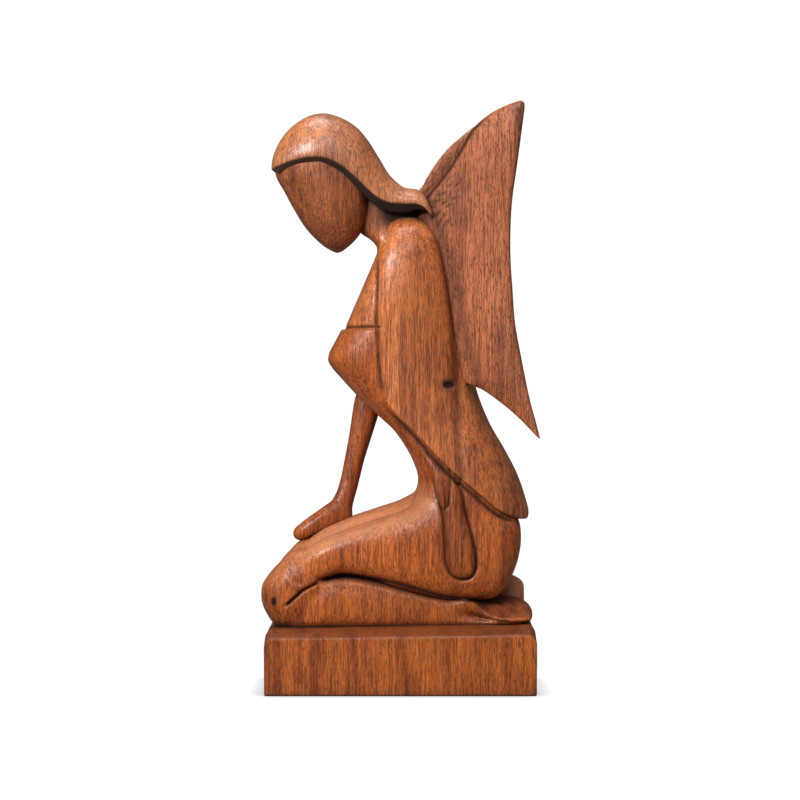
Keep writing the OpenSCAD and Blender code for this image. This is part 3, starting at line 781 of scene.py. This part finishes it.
def make_cape():
    """Both sides of the cape and the back as one sheet with rolled edges and a real thickness."""
    side = mirrored(cape_grid())
    sheet = np.concatenate([side, mirrored(side)[:, -2::-1]], 1)
    way = grid_normals(sheet)
    on_left_side = way[len(way) // 2, 40]
    if on_left_side[1] > 0:
        way = -way
    x, z = sheet[..., 0], sheet[..., 2]
    relief = sleeve_relief(x, z) + hand_cut(sheet.reshape(-1, 3), 0.07, 1.7).reshape(x.shape)
    outer = sheet + way * relief[..., None]
    hem_far, edge_far = edge_distances(outer)
    roll, shoulder_height, far_off = 1.1, 241, 9.0
    edge_far = np.where(z > shoulder_height, far_off, edge_far)
    near = np.clip(1 - np.minimum(hem_far, edge_far) / roll, 0, 1)
    tuck = roll * (1 - np.sqrt(np.maximum(0, 1 - near**2)))
    soft_front = 0.9 * np.exp(-((edge_far / 2.6) ** 2)) * ease(-z, -243, -232)
    outer = outer - way * (tuck + soft_front)[..., None]
    inner = sheet - way * CAPE_WALL
    rows, columns, _ = outer.shape
    index = np.arange(rows * columns).reshape(rows, columns)
    shift = rows * columns

    def quads(a):
        return np.stack([a[:-1, :-1], a[:-1, 1:], a[1:, 1:], a[1:, :-1]], -1).reshape(-1, 4)

    def wall(line):
        return np.stack([line[1:], line[:-1], line[:-1] + shift, line[1:] + shift], -1)

    loop = [index[0], index[:, -1], index[-1, ::-1], index[::-1, 0]]
    faces = [quads(index), quads(index)[:, ::-1] + shift, *map(wall, loop)]
    points = np.concatenate([outer.reshape(-1, 3), inner.reshape(-1, 3)])
    piece = make_object("cape_carved", points, [list(f) for block in faces for f in block])
    # Painted shade along the valley behind the sleeve; the knothole and its ring are the wood's own colour.
    valley, along = distance_to(bend(SLEEVE_VALLEY), *nominal(corners(piece))[:, [0, 2]].T)
    tint_and_painted_light = np.exp(-((valley / 2.4) ** 2)) * ease(along, 0.0, 0.2)
    halo = spot(piece, *CAPE_KNOT, 5.4, 3.8, LEFT)
    hole = spot(piece, *CAPE_KNOT, 3.0, 1.9, LEFT)
    set_mask(piece, "dark_tone_and_painted_shade", np.maximum(tint_and_painted_light, 0.6 * halo))
    set_mask(piece, "knot_and_painted_shade", hole)
    set_corners(piece, corners(piece) - normals(piece) * (1.2 * hole * MM)[:, None])
    return piece


# ---- arms ----

# Height, front, back, half thickness, power, distance of the middle from the middle plane
LEFT_ARM = [
    [130, 12, 29, 4.8, 2.8, -23.8], [120, 14, 30.6, 5.4, 2.8, -24.8], [112, 16.4, 31.5, 5.6, 2.8, -25.6],
    [104, 19.2, 31.9, 5.6, 2.8, -26.4], [97, 21, 32.4, 5.5, 2.8, -27.2], [92, 21.7, 33.4, 5.3, 2.8, -27.8],
    [88, 22.1, 34.4, 5.1, 2.8, -28.4], [84, 22.5, 35.4, 4.8, 2.8, -29], [80, 22.7, 36.3, 4.5, 2.8, -29.6],
    [76, 22.9, 37.1, 4.3, 2.8, -30], [72, 23.2, 37.8, 4.1, 2.8, -30.2], [69, 23.6, 38.1, 3.9, 2.8, -30.3],
    [66, 24.2, 38.1, 3.6, 2.8, -30.3], [63, 25.4, 37.6, 3.2, 2.6, -30.2], [61, 26.8, 36.4, 2.7, 2.4, -30.1],
    [59.9, 28.6, 34.2, 1.9, 2.2, -30], [59.4, 30.2, 32.6, 0.9, 2, -30],
]
CUFF_FOLD = [
    [128, 9.2, 22.6, 5, 2.3, -22.6], [121, 11.5, 23.8, 5.6, 2.3, -23.8], [116, 13.5, 24.2, 5.9, 2.3, -24.6],
    [111, 15.3, 24.4, 6.1, 2.3, -25.4], [106, 17.1, 24.3, 6.2, 2.3, -26.1], [102, 18.5, 24, 6.2, 2.3, -26.7],
    [98.5, 19.9, 23.7, 6, 2.2, -27.1], [96, 20.9, 23.4, 5.4, 2.1, -27.4], [94.4, 21.8, 23, 3.6, 2, -27.6],
    [93.8, 22.2, 22.8, 1.6, 2, -27.7],
]
RIGHT_ARM = [
    [184, -4, 10, 5, 2.4, 23], [176, -10, 6, 6.4, 2.4, 23.4], [166, -17, 0, 7, 2.4, 23.2],
    [152, -24.3, -8.8, 6.6, 2.3, 22.2], [140, -26.3, -12.5, 6.2, 2.3, 21],
    [129.6, -27.9, -15.8, 5.8, 2.3, 20],
    [118, -30.1, -19.4, 5.3, 2.3, 18.8], [109, -31.9, -21.6, 5, 2.3, 17.8], [102.5, -33.8, -23.2, 5, 2.3, 17],
    [97, -36.4, -24.8, 5, 2.3, 16.4], [90, -38, -26.2, 4.6, 2.3, 16],
]
RIGHT_HAND = [
    [-25.6, 86, 92, 3.4, 16], [-27.5, 83.6, 95.4, 4.8, 16], [-31, 82.4, 98.4, 5.6, 16],
    [-34, 81.6, 98.4, 6.1, 16], [-38, 80, 96, 6.6, 15.9], [-43, 78.6, 92.5, 7.3, 15.8],
    [-49, 76.6, 88.3, 7.5, 15.8],
    [-53.5, 75.8, 84.8, 6.8, 15.8], [-56, 76.8, 82.6, 5, 15.8], [-57.2, 78.4, 81, 2.6, 15.8],
]
CUFF_EDGE = [(25.2, 118), (25.4, 108), (25, 101), (23.6, 94.6)]


def make_left_arm():
    """Forearm and hand as one loft against the hip, with a line cut where the cuff fold ends."""
    piece = make_object("left_arm_carved", *skin(sections_up(LEFT_ARM, rings=180, count=110)))
    # Grooves darkened: staining plus painted shade under the hem and at the cuff edge.
    set_mask(piece, "groove_staining_and_painted_shade", cut_lines(piece, [(CUFF_EDGE, 0.7, 1.0), (UNDER_HEM, 1.2, 1.5)], LEFT))
    points, way = corners(piece), normals(piece)
    set_corners(piece, points + way * (hand_cut(nominal(points) * 1.7, 0.1, 4.1) * MM)[:, None])
    return piece


def make_cuff_fold():
    """The folded corner of the cuff, proud of the forearm."""
    piece = make_object("left_cuff_fold_carved", *skin(sections_up(CUFF_FOLD, rings=80, count=56)))
    # Painted shade under the hem, with staining in the groove.
    set_mask(piece, "groove_staining_and_painted_shade", cut_lines(piece, [(UNDER_HEM, 1.2, 1.5)], LEFT))
    return piece


def make_right_arm():
    """Arm and mitten hand melted into one surface, relaxed at the wrist."""
    arm = skin(sections_up(RIGHT_ARM, rings=110, count=64))
    hand = skin(sections_along(RIGHT_HAND, upper=2.4, lower=2.6, rings=80, count=64))
    piece = make_object("right_arm_carved", *joined(arm, hand))
    melt_together(piece, 0.6)
    relax(piece, 14)
    # Painted shade on the side that faces the back.
    set_mask(piece, "dark_tone_and_painted_shade", ease(normals(piece)[:, 0], 0.1, 0.7))
    return piece


# ---- wings ----

WING_ROOT_X, WING_EDGE_X = 22.0, 62.0
# Height, x inner edge, x outer edge, thickness share, how far a fuller wing reaches past it in front
WING = [
    [131.4, 70.8, 71.3, 0.4, 0], [133, 69.2, 70.9, 0.7, 0], [136, 66.4, 70.2, 0.85, 0],
    [141, 61.7, 68.9, 0.95, 0], [148, 54, 66.9, 1, 0], [156, 43.2, 65, 1, 0], [162, 30, 63.7, 1, 0],
    [175, 24, 61.1, 1, 0],
    [190, 20, 58.7, 1, 0], [207, 17, 57.3, 1, 0], [228, 12, 56.3, 1, 0], [244, 8, 56.5, 1, 0.6],
    [255, 12.4, 57.2, 1, 0.75], [264, 20, 58.3, 1, 0.88], [272, 26, 59.5, 1, 1], [280, 31, 60.6, 1, 0.93],
    [290, 36.8, 61.9, 1, 0.5], [298, 45.6, 63, 0.9, 0.35], [302.3, 54, 63.3, 0.8, 0.12],
    [304, 59.2, 62.7, 0.6, 0], [304.5, 60.8, 61.9, 0.35, 0],
]
# How much of its lift each of those rows takes
WING_LIFT = [1, 1, 1, 1, 1, 0.8, 0.5] + [0] * (len(WING) - 7)
RIGHT_WING_FULLNESS, RIGHT_WING_LIFT = 9.5, 3.0
# Where the wing grows out of the back, as places (x, z)
WING_ROOT_LINE = [(13.6, 257), (15.5, 250), (20.3, 240), (28.9, 210), (33.6, 184), (40.3, 159)]


def make_wing(side, name, fullness=0.0, lift=0.0):
    """A thin leaf: each level section is a flat lens that leans outwards from the root to the outer edge.

    A fuller wing reaches further forward, and lift raises its lower tip; both are millimetres.
    """
    rows = np.array(WING, float)
    rows[:, 0] += lift * np.array(WING_LIFT)
    rows[:, 1] -= fullness * rows[:, 4]
    r = smooth_rows(rows, 170)
    root_gap, spread = 22.0, 62.0

    def wing_y(x):
        """Place across the figure: evenly further out towards the outer edge."""
        share = (x - WING_ROOT_X) / (WING_EDGE_X - WING_ROOT_X)
        return side * (root_gap + (spread - root_gap) * share) / 2

    inner = np.stack([r[:, 1], wing_y(r[:, 1]), r[:, 0]], 1)
    outer = np.stack([r[:, 2], wing_y(r[:, 2]), r[:, 0]], 1)
    along = (outer - inner) / 2
    length = np.maximum(np.linalg.norm(along, axis=1, keepdims=True), 0.01)
    across = np.stack([-along[:, 1], along[:, 0], 0 * along[:, 0]], 1) / length
    share = np.clip((r[:, 1] - WING_ROOT_X) / (WING_EDGE_X - WING_ROOT_X), 0, 1)
    thick = (8.0 - 4.0 * share) * r[:, 3]
    rings = sections((inner + outer) / 2, along, across * (thick / 2)[:, None],
                     np.full(len(r), 2.9), np.full(len(r), 2.9), 120)
    piece = make_object(name, *skin(rings))
    carve_wing(piece, side)
    return piece


def carve_wing(piece, side):
    """Short gouge cuts that run out from the root, and slow unevenness over the rest."""
    points, way = corners(piece), normals(piece)
    flat = nominal(points)
    x, z = flat[:, 0], flat[:, 2]
    root = np.interp(z, [150, 190, 228, 250, 300], [30, 22, 16, 16, 40])
    off = x - root
    # Weak along the lower root and strong beside the nape, gone about 17 mm out
    near = ease(-off, -17, -6) * (0.3 * ease(z, 195, 225) + 0.7 * ease(z, 234, 244)) * ease(-z, -276, -256)
    slant = (z - 236) - 0.9 * off
    narrow = np.sin(slant / 0.9 + 1.6 * np.sin(off / 1.7))
    broad = np.sin(slant / 2.3 + off / 1.6 + 1.3 * np.sin(z / 3.7))
    cuts = narrow * broad
    push = -0.6 * near * (0.5 + 0.5 * cuts) * (0.6 + 0.4 * np.sin(off / 1.9 + slant / 5))
    push = push + hand_cut(flat, 0.12, 2.9)
    set_corners(piece, points + way * (push * MM)[:, None])
    # The gouge cuts and the root are darkened: painted shade in the cuts.
    set_mask(piece, "tool_marks_and_painted_shade", near * (0.35 + 0.65 * ease(cuts, 0.0, 0.5)))
    # Painted shade on the faces turned to the other wing and along the line where the wing leaves the back.
    d, _ = distance_to(bend(WING_ROOT_LINE), x, z)
    inside = ease(-side * way[:, 1], 0.3, 0.8)
    set_mask(piece, "dark_tone_and_painted_shade", np.maximum(0.6 * inside, np.exp(-((d / 2.4) ** 2))))
    if side == LEFT:
        # Painted shade in the dark gap along the upper inner edge of the left wing.
        rows = np.array(WING, float)
        from_edge = x - np.interp(z, rows[:, 0], rows[:, 1])
        upper_edge = ease(z, 246, 256) * ease(-z, -300, -292)
        set_mask(piece, "groove_staining_and_painted_shade", ease(-from_edge, -2.2, -0.5) * upper_edge)


# ---- wood ----


def set_inputs(node, values):
    """Values for a node's sockets, by name."""
    for key, value in values.items():
        node.inputs[key].default_value = value


def math_node(tree, operation, first, second=None, clamp=False):
    """One sum; a number or a socket on each side."""
    node = tree.nodes.new("ShaderNodeMath")
    node.operation = operation
    node.use_clamp = clamp
    for k, value in enumerate((first, second)):
        if value is None:
            continue
        if isinstance(value, (int, float)):
            node.inputs[k].default_value = value
        else:
            tree.links.new(value, node.inputs[k])
    return node.outputs[0]


def mix_colour(tree, share, first, second, blend="MIX"):
    """Two colours mixed by a number or a socket."""
    node = tree.nodes.new("ShaderNodeMix")
    node.data_type = "RGBA"
    node.blend_type = blend
    for socket, value in ((node.inputs["Factor"], share), (node.inputs[6], first), (node.inputs[7], second)):
        if isinstance(value, bpy.types.NodeSocket):
            tree.links.new(value, socket)
        else:
            socket.default_value = value
    return node.outputs[2]


def stretched_noise(tree, place_socket, size, detail=2.0, rough=0.5, warp=0.0):
    """Noise whose cells measure size = (x, y, z) in millimetres."""
    mapping = tree.nodes.new("ShaderNodeMapping")
    mapping.inputs["Scale"].default_value = [1 / (s * MM) for s in size]
    tree.links.new(place_socket, mapping.inputs["Vector"])
    noise = tree.nodes.new("ShaderNodeTexNoise")
    set_inputs(noise, {"Scale": 1.0, "Detail": detail, "Roughness": rough, "Distortion": warp})
    tree.links.new(mapping.outputs[0], noise.inputs["Vector"])
    return noise.outputs[0]


def ramp(tree, value, stops):
    """Colour or grey that changes along a value; a stop is (place, colour)."""
    node = tree.nodes.new("ShaderNodeValToRGB")
    node.color_ramp.interpolation = "EASE"
    elements = node.color_ramp.elements
    while len(elements) < len(stops):
        elements.new(0.5)
    for element, (where, colour) in zip(elements, stops):
        element.position = where
        element.color = colour if len(colour) == 4 else (*colour, 1)
    tree.links.new(value, node.inputs[0])
    return node.outputs[0]


def grey(value):
    """A grey colour of one level."""
    return (value, value, value, 1)


def make_group(name, inputs, outputs):
    """An empty shader group with its named sockets; a row is (name, kind, default)."""
    group = bpy.data.node_groups.new(name, "ShaderNodeTree")
    for label, kind, default in inputs:
        socket = group.interface.new_socket(label, in_out="INPUT", socket_type=kind)
        socket.default_value = default
    for label, kind in outputs:
        group.interface.new_socket(label, in_out="OUTPUT", socket_type=kind)
    return group, group.nodes.new("NodeGroupInput").outputs, group.nodes.new("NodeGroupOutput").inputs


def hardwood_grain():
    """Wood that runs through the whole block: growth bands, streaks, fibres and pores along Z.

    Bands are slow changes across X and Y, streaks are 1 to 4 mm wide, fibres about half a millimetre, and
    pores are short dark dashes.
    """
    tree, given, out = make_group(
        "hardwood_grain",
        [
            ("Light", "NodeSocketColor", (0.5, 0.5, 0.5, 1)), ("Dark", "NodeSocketColor", (0.1, 0.1, 0.1, 1)),
            ("Orange", "NodeSocketColor", (0.6, 0.3, 0.1, 1)), ("Streaks", "NodeSocketFloat", 0.6),
            ("Pores", "NodeSocketFloat", 0.6),
        ],
        [("Color", "NodeSocketColor"), ("Height", "NodeSocketFloat"), ("Roughness", "NodeSocketFloat")],
    )
    where = tree.nodes.new("ShaderNodeTexCoord").outputs["Object"]
    bands = stretched_noise(tree, where, (17, 22, 190), 2.5, 0.55, 0.6)
    streaks = stretched_noise(tree, where, (2.6, 3.4, 75), 3.5, 0.65, 0.3)
    fibres = stretched_noise(tree, where, (0.8, 1.0, 15), 3.0, 0.7)
    fine = stretched_noise(tree, where, (0.5, 0.6, 5.5), 2.0, 0.6)
    pores = stretched_noise(tree, where, (0.36, 0.42, 3.0), 1.0, 0.5)
    patches = stretched_noise(tree, where, (26, 30, 60), 2.0, 0.5)

    band_mask = ramp(tree, bands, [(0.42, grey(0)), (0.6, grey(1))])
    streak_mask = ramp(tree, streaks, [(0.44, grey(0)), (0.6, grey(1))])
    fibre_mask = ramp(tree, fibres, [(0.48, grey(0)), (0.62, grey(1))])
    fine_mask = ramp(tree, fine, [(0.41, grey(0)), (0.59, grey(1))])
    pore_mask = ramp(tree, pores, [(0.6, grey(0)), (0.7, grey(1))])
    patch_mask = ramp(tree, patches, [(0.48, grey(0)), (0.64, grey(1))])

    strength = math_node(tree, "MULTIPLY", streak_mask, given["Streaks"])
    dark_share = math_node(tree, "MULTIPLY", band_mask, 0.4)
    dark_share = math_node(tree, "ADD", dark_share, math_node(tree, "MULTIPLY", strength, 0.4), clamp=True)
    colour = mix_colour(tree, dark_share, given["Light"], given["Dark"])
    colour = mix_colour(tree, math_node(tree, "MULTIPLY", patch_mask, 0.4), colour, given["Orange"])
    fibre_light = math_node(tree, "SUBTRACT", 1.13, math_node(tree, "MULTIPLY", fibre_mask, 0.6))
    fine_light = math_node(tree, "ADD", 0.87, math_node(tree, "MULTIPLY", fine_mask, 0.26))
    pore_share = math_node(tree, "MULTIPLY", pore_mask, given["Pores"])
    pore_light = math_node(tree, "SUBTRACT", 1.0, math_node(tree, "MULTIPLY", pore_share, 0.72))
    light = math_node(tree, "MULTIPLY", math_node(tree, "MULTIPLY", fibre_light, fine_light), pore_light)
    scaled = tree.nodes.new("ShaderNodeVectorMath")
    scaled.operation = "SCALE"
    tree.links.new(colour, scaled.inputs[0])
    tree.links.new(light, scaled.inputs["Scale"])
    tree.links.new(scaled.outputs[0], out["Color"])

    height = math_node(tree, "MULTIPLY", fibre_mask, -0.35)
    height = math_node(tree, "ADD", height, math_node(tree, "MULTIPLY", fine_mask, -0.25))
    height = math_node(tree, "SUBTRACT", height, math_node(tree, "MULTIPLY", pore_share, 0.8))
    tree.links.new(height, out["Height"])
    rough = math_node(tree, "ADD", math_node(tree, "MULTIPLY", pore_share, 0.2),
                      math_node(tree, "MULTIPLY", fibre_mask, 0.08))
    tree.links.new(rough, out["Roughness"])
    return tree


def staining_and_painted_light():
    """Colour with staining and painted shade in carved lines, knots and bands, painted highlights and AO
    shade.
    """
    tree, given, out = make_group(
        "staining_and_painted_light",
        [("Color", "NodeSocketColor", (0.5, 0.5, 0.5, 1)), ("Line", "NodeSocketFloat", 0.7),
         ("Shade", "NodeSocketFloat", 1.0)],
        [("Color", "NodeSocketColor"), ("Dull", "NodeSocketFloat")],
    )

    def mask(name):
        node = tree.nodes.new("ShaderNodeAttribute")
        node.attribute_name = name
        return node.outputs["Fac"]

    colour = given["Color"]
    for name, strength, tint_and_painted_light in (
        # Staining with painted shade, darker tone with painted shade, tool cuts with painted shade, painted
        # highlight, knots with painted shade.
        ("groove_staining_and_painted_shade", given["Line"], (0.035, 0.010, 0.005, 1)),
        ("dark_tone_and_painted_shade", 0.55, (0.08, 0.018, 0.007, 1)),
        ("tool_marks_and_painted_shade", 0.75, (0.05, 0.014, 0.007, 1)),
        ("painted_highlight", 0.5, (0.80, 0.36, 0.17, 1)),
        ("knot_and_painted_shade", 1.0, (0.024, 0.007, 0.004, 1)),
    ):
        colour = mix_colour(tree, math_node(tree, "MULTIPLY", mask(name), strength), colour, tint_and_painted_light)
    # Painted shade where ambient occlusion is low.
    shadow = math_node(tree, "MULTIPLY", math_node(tree, "SUBTRACT", 1.0, given["Shade"]), 0.85)
    colour = mix_colour(tree, shadow, colour, (0.02, 0.006, 0.004, 1))
    tree.links.new(colour, out["Color"])
    dull = math_node(tree, "MAXIMUM", mask("knot_and_painted_shade"), mask("groove_staining_and_painted_shade"))
    tree.links.new(math_node(tree, "MAXIMUM", dull, shadow), out["Dull"])
    return tree


def make_wood(name, light, deep, orange, rough, coat, streaks, pores, bump, sheen=0.5):
    """Varnished wood: the shared grain, darkened in the carving with staining and painted shade, under a
    satin coat.
    """
    material = bpy.data.materials.new(name)
    material.use_nodes = True
    tree = material.node_tree
    shader = tree.nodes["Principled BSDF"]
    body = tree.nodes.new("ShaderNodeGroup")
    body.node_tree = grain_group
    set_inputs(body, {"Light": (*light, 1), "Dark": (*deep, 1), "Orange": (*orange, 1)})
    set_inputs(body, {"Streaks": streaks, "Pores": pores})
    # Ambient occlusion darkens the base colour: painted shade in hollows and between parts.
    hollow = tree.nodes.new("ShaderNodeAmbientOcclusion")
    hollow.samples = 6
    hollow.inputs["Distance"].default_value = 0.011
    tint_and_painted_light = tree.nodes.new("ShaderNodeGroup")
    tint_and_painted_light.node_tree = staining_and_painted_light_group
    tint_and_painted_light.inputs["Line"].default_value = 0.92
    opened = ramp(tree, hollow.outputs["AO"], [(0.1, grey(0)), (0.8, grey(1))])
    tree.links.new(body.outputs["Color"], tint_and_painted_light.inputs["Color"])
    tree.links.new(opened, tint_and_painted_light.inputs["Shade"])
    tree.links.new(tint_and_painted_light.outputs["Color"], shader.inputs["Base Color"])
    total = math_node(tree, "ADD", body.outputs["Roughness"], rough)
    total = math_node(tree, "ADD", total, math_node(tree, "MULTIPLY", tint_and_painted_light.outputs["Dull"], 0.5), clamp=True)
    tree.links.new(total, shader.inputs["Roughness"])
    relief = tree.nodes.new("ShaderNodeBump")
    set_inputs(relief, {"Strength": bump, "Distance": 0.0002})
    tree.links.new(body.outputs["Height"], relief.inputs["Height"])
    tree.links.new(relief.outputs["Normal"], shader.inputs["Normal"])
    gloss = math_node(tree, "SUBTRACT", 1.0, tint_and_painted_light.outputs["Dull"])
    tree.links.new(math_node(tree, "MULTIPLY", gloss, coat), shader.inputs["Coat Weight"])
    shader.inputs["Specular IOR Level"].default_value = sheen
    shader.inputs["Coat Roughness"].default_value = 0.22
    return material


def show(piece, material, slot, *nodes):
    """Gives a finished piece its wood and its body and hides the nodes it stands for; slot is not used."""
    piece.data.materials.clear()
    piece.data.materials.append(material)
    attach(piece, "root")
    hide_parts(*nodes)


# ---- build ----

grain_group = hardwood_grain()
staining_and_painted_light_group = staining_and_painted_light()
polished = make_wood(
    "polished_wood", light=(0.62, 0.150, 0.024), deep=(0.17, 0.026, 0.004), orange=(0.68, 0.170, 0.020),
    rough=0.40, coat=0.22, streaks=0.9, pores=0.85, bump=0.8,
)
# A lighter copy of the polished wood for the trunk and thighs: painted light that makes up for their shade.
painted_light_body_wood = make_wood(
    "painted_light_body_wood", light=(0.80, 0.190, 0.030), deep=(0.24, 0.036, 0.005), orange=(0.84, 0.205, 0.024),
    rough=0.40, coat=0.25, streaks=0.85, pores=0.85, bump=0.8, sheen=0.6,
)
worn = make_wood(
    "worn_wood", light=(0.86, 0.250, 0.064), deep=(0.23, 0.040, 0.009), orange=(0.76, 0.215, 0.040),
    rough=0.40, coat=0.3, streaks=0.95, pores=0.75, bump=0.8, sheen=0.6,
)
hair_wood = make_wood(
    "hair_wood", light=(0.74, 0.250, 0.084), deep=(0.27, 0.056, 0.016), orange=(0.72, 0.220, 0.055),
    rough=0.38, coat=0.45, streaks=0.8, pores=0.7, bump=0.8, sheen=0.9,
)
red_polished = make_wood(
    "red_polished_wood", light=(0.53, 0.150, 0.046), deep=(0.15, 0.027, 0.008), orange=(0.54, 0.150, 0.04),
    rough=0.42, coat=0.25, streaks=1.0, pores=0.85, bump=0.8,
)
matte = make_wood(
    "matte_wood", light=(0.60, 0.172, 0.056), deep=(0.19, 0.036, 0.010), orange=(0.56, 0.152, 0.042),
    rough=0.5, coat=0.1, streaks=0.75, pores=1.0, bump=1.0,
)

show(make_base(), polished, "polished_wood", "base_block")
show(make_body(), painted_light_body_wood, "polished_wood", "waist", "bodice", "left_thigh", "right_thigh")
for side, word in ((LEFT, "left"), (RIGHT, "right")):
    leg_nodes = [f"{word}_knee", f"{word}_lower_leg", f"{word}_foot"]
    show(make_leg(side, f"{word}_leg_carved"), polished, "polished_wood", *leg_nodes)
show(make_chest(), worn, "polished_wood", "chest", "neck")
show(make_head(), red_polished, "polished_wood", "face")
show(make_hair(), hair_wood, "polished_wood", "hair")
show(make_cape(), worn, "polished_wood", "left_cape", "right_cape")
show(make_left_arm(), polished, "polished_wood", "left_forearm", "left_hand")
show(make_cuff_fold(), polished, "polished_wood", "left_cuff_fold")
show(make_right_arm(), polished, "polished_wood", "right_arm", "right_hand")
left_wing = make_wing(LEFT, "left_wing_carved")
right_wing = make_wing(RIGHT, "right_wing_carved", RIGHT_WING_FULLNESS, RIGHT_WING_LIFT)
show(left_wing, matte, "matte_wood", "left_wing")
show(right_wing, matte, "matte_wood", "right_wing")


# ---- floor, light and camera ----


def make_floor():
    """A wide white floor that looks white, with a painted contact shadow where the base stands on it."""
    size = 6.0
    mesh = bpy.data.meshes.new("floor")
    outline = [(-size, -size, 0), (size, -size, 0), (size, size, 0), (-size, size, 0)]
    mesh.from_pydata(outline, [], [(0, 1, 2, 3)])
    floor = bpy.data.objects.new("floor", mesh)
    bpy.context.scene.collection.objects.link(floor)
    material = bpy.data.materials.new("white_floor")
    material.use_nodes = True
    tree = material.node_tree
    tree.nodes.clear()
    seen = tree.nodes.new("ShaderNodeLightPath").outputs["Is Camera Ray"]
    # Ambient occlusion dims the glow next to the base: a painted contact shadow.
    near = tree.nodes.new("ShaderNodeAmbientOcclusion")
    near.samples = 16
    near.inputs["Distance"].default_value = 0.016
    glow = tree.nodes.new("ShaderNodeEmission")
    level = ramp(tree, near.outputs["AO"], [(0.30, grey(0.10)), (0.62, grey(0.75)), (0.9, grey(1.0))])
    tree.links.new(level, glow.inputs["Color"])
    glow.inputs["Strength"].default_value = 1.05
    plain = tree.nodes.new("ShaderNodeBsdfDiffuse")
    plain.inputs["Color"].default_value = (0.16, 0.16, 0.16, 1)
    pick = tree.nodes.new("ShaderNodeMixShader")
    tree.links.new(seen, pick.inputs[0])
    tree.links.new(plain.outputs[0], pick.inputs[1])
    tree.links.new(glow.outputs[0], pick.inputs[2])
    output = tree.nodes.new("ShaderNodeOutputMaterial")
    tree.links.new(pick.outputs[0], output.inputs["Surface"])
    mesh.materials.append(material)


def make_world():
    """White behind the object, and a softer white as the light that surrounds it."""
    world = bpy.data.worlds.new("studio")
    bpy.context.scene.world = world
    world.use_nodes = True
    tree = world.node_tree
    back = tree.nodes["Background"]
    path = tree.nodes.new("ShaderNodeLightPath").outputs
    around, behind, mirrored_share = 0.22, 1.05, 0.6
    mirrored = math_node(tree, "MULTIPLY", path["Is Glossy Ray"], mirrored_share)
    level = math_node(tree, "MULTIPLY", math_node(tree, "SUBTRACT", 1.0, mirrored), around)
    seen = math_node(tree, "MULTIPLY", path["Is Camera Ray"], behind - around)
    level = math_node(tree, "ADD", level, seen)
    back.inputs["Color"].default_value = (1, 1, 1, 1)
    tree.links.new(level, back.inputs["Strength"])


def aim(thing, target):
    """Turns a light or camera so that its -Z looks at a point."""
    way = Vector(target) - Vector(thing.location)
    thing.rotation_euler = way.to_track_quat("-Z", "Y").to_euler()


def add_light(name, place_at, target, size, power):
    """A rectangular lamp in watts that looks at a point."""
    light = bpy.data.lights.new(name, "AREA")
    light.shape = "RECTANGLE"
    light.size, light.size_y = size
    light.energy = power
    lamp = bpy.data.objects.new(name, light)
    lamp.location = place_at
    bpy.context.scene.collection.objects.link(lamp)
    aim(lamp, target)


make_floor()
make_world()
add_light("key_upper_left", (-0.75, -1.05, 0.85), (0, 0, 0.16), (0.5, 0.4), 15.0)
add_light("fill_upper_right", (0.15, -0.9, 1.2), (0, 0, 0.16), (0.3, 0.3), 2.8)
add_light("top", (-0.1, 0.1, 1.2), (0, 0, 0.16), (0.6, 0.6), 5.0)

camera_data = bpy.data.cameras.new("camera")
camera_data.sensor_width = 36
camera_data.lens = 112.7
camera = bpy.data.objects.new("camera", camera_data)
camera.location = (0.0002, -1.316, 0.167)
camera.rotation_euler = (math.radians(90 - 0.709), 0, 0)
bpy.context.scene.collection.objects.link(camera)
bpy.context.scene.camera = camera
bpy.context.scene.view_settings.view_transform = "Standard"
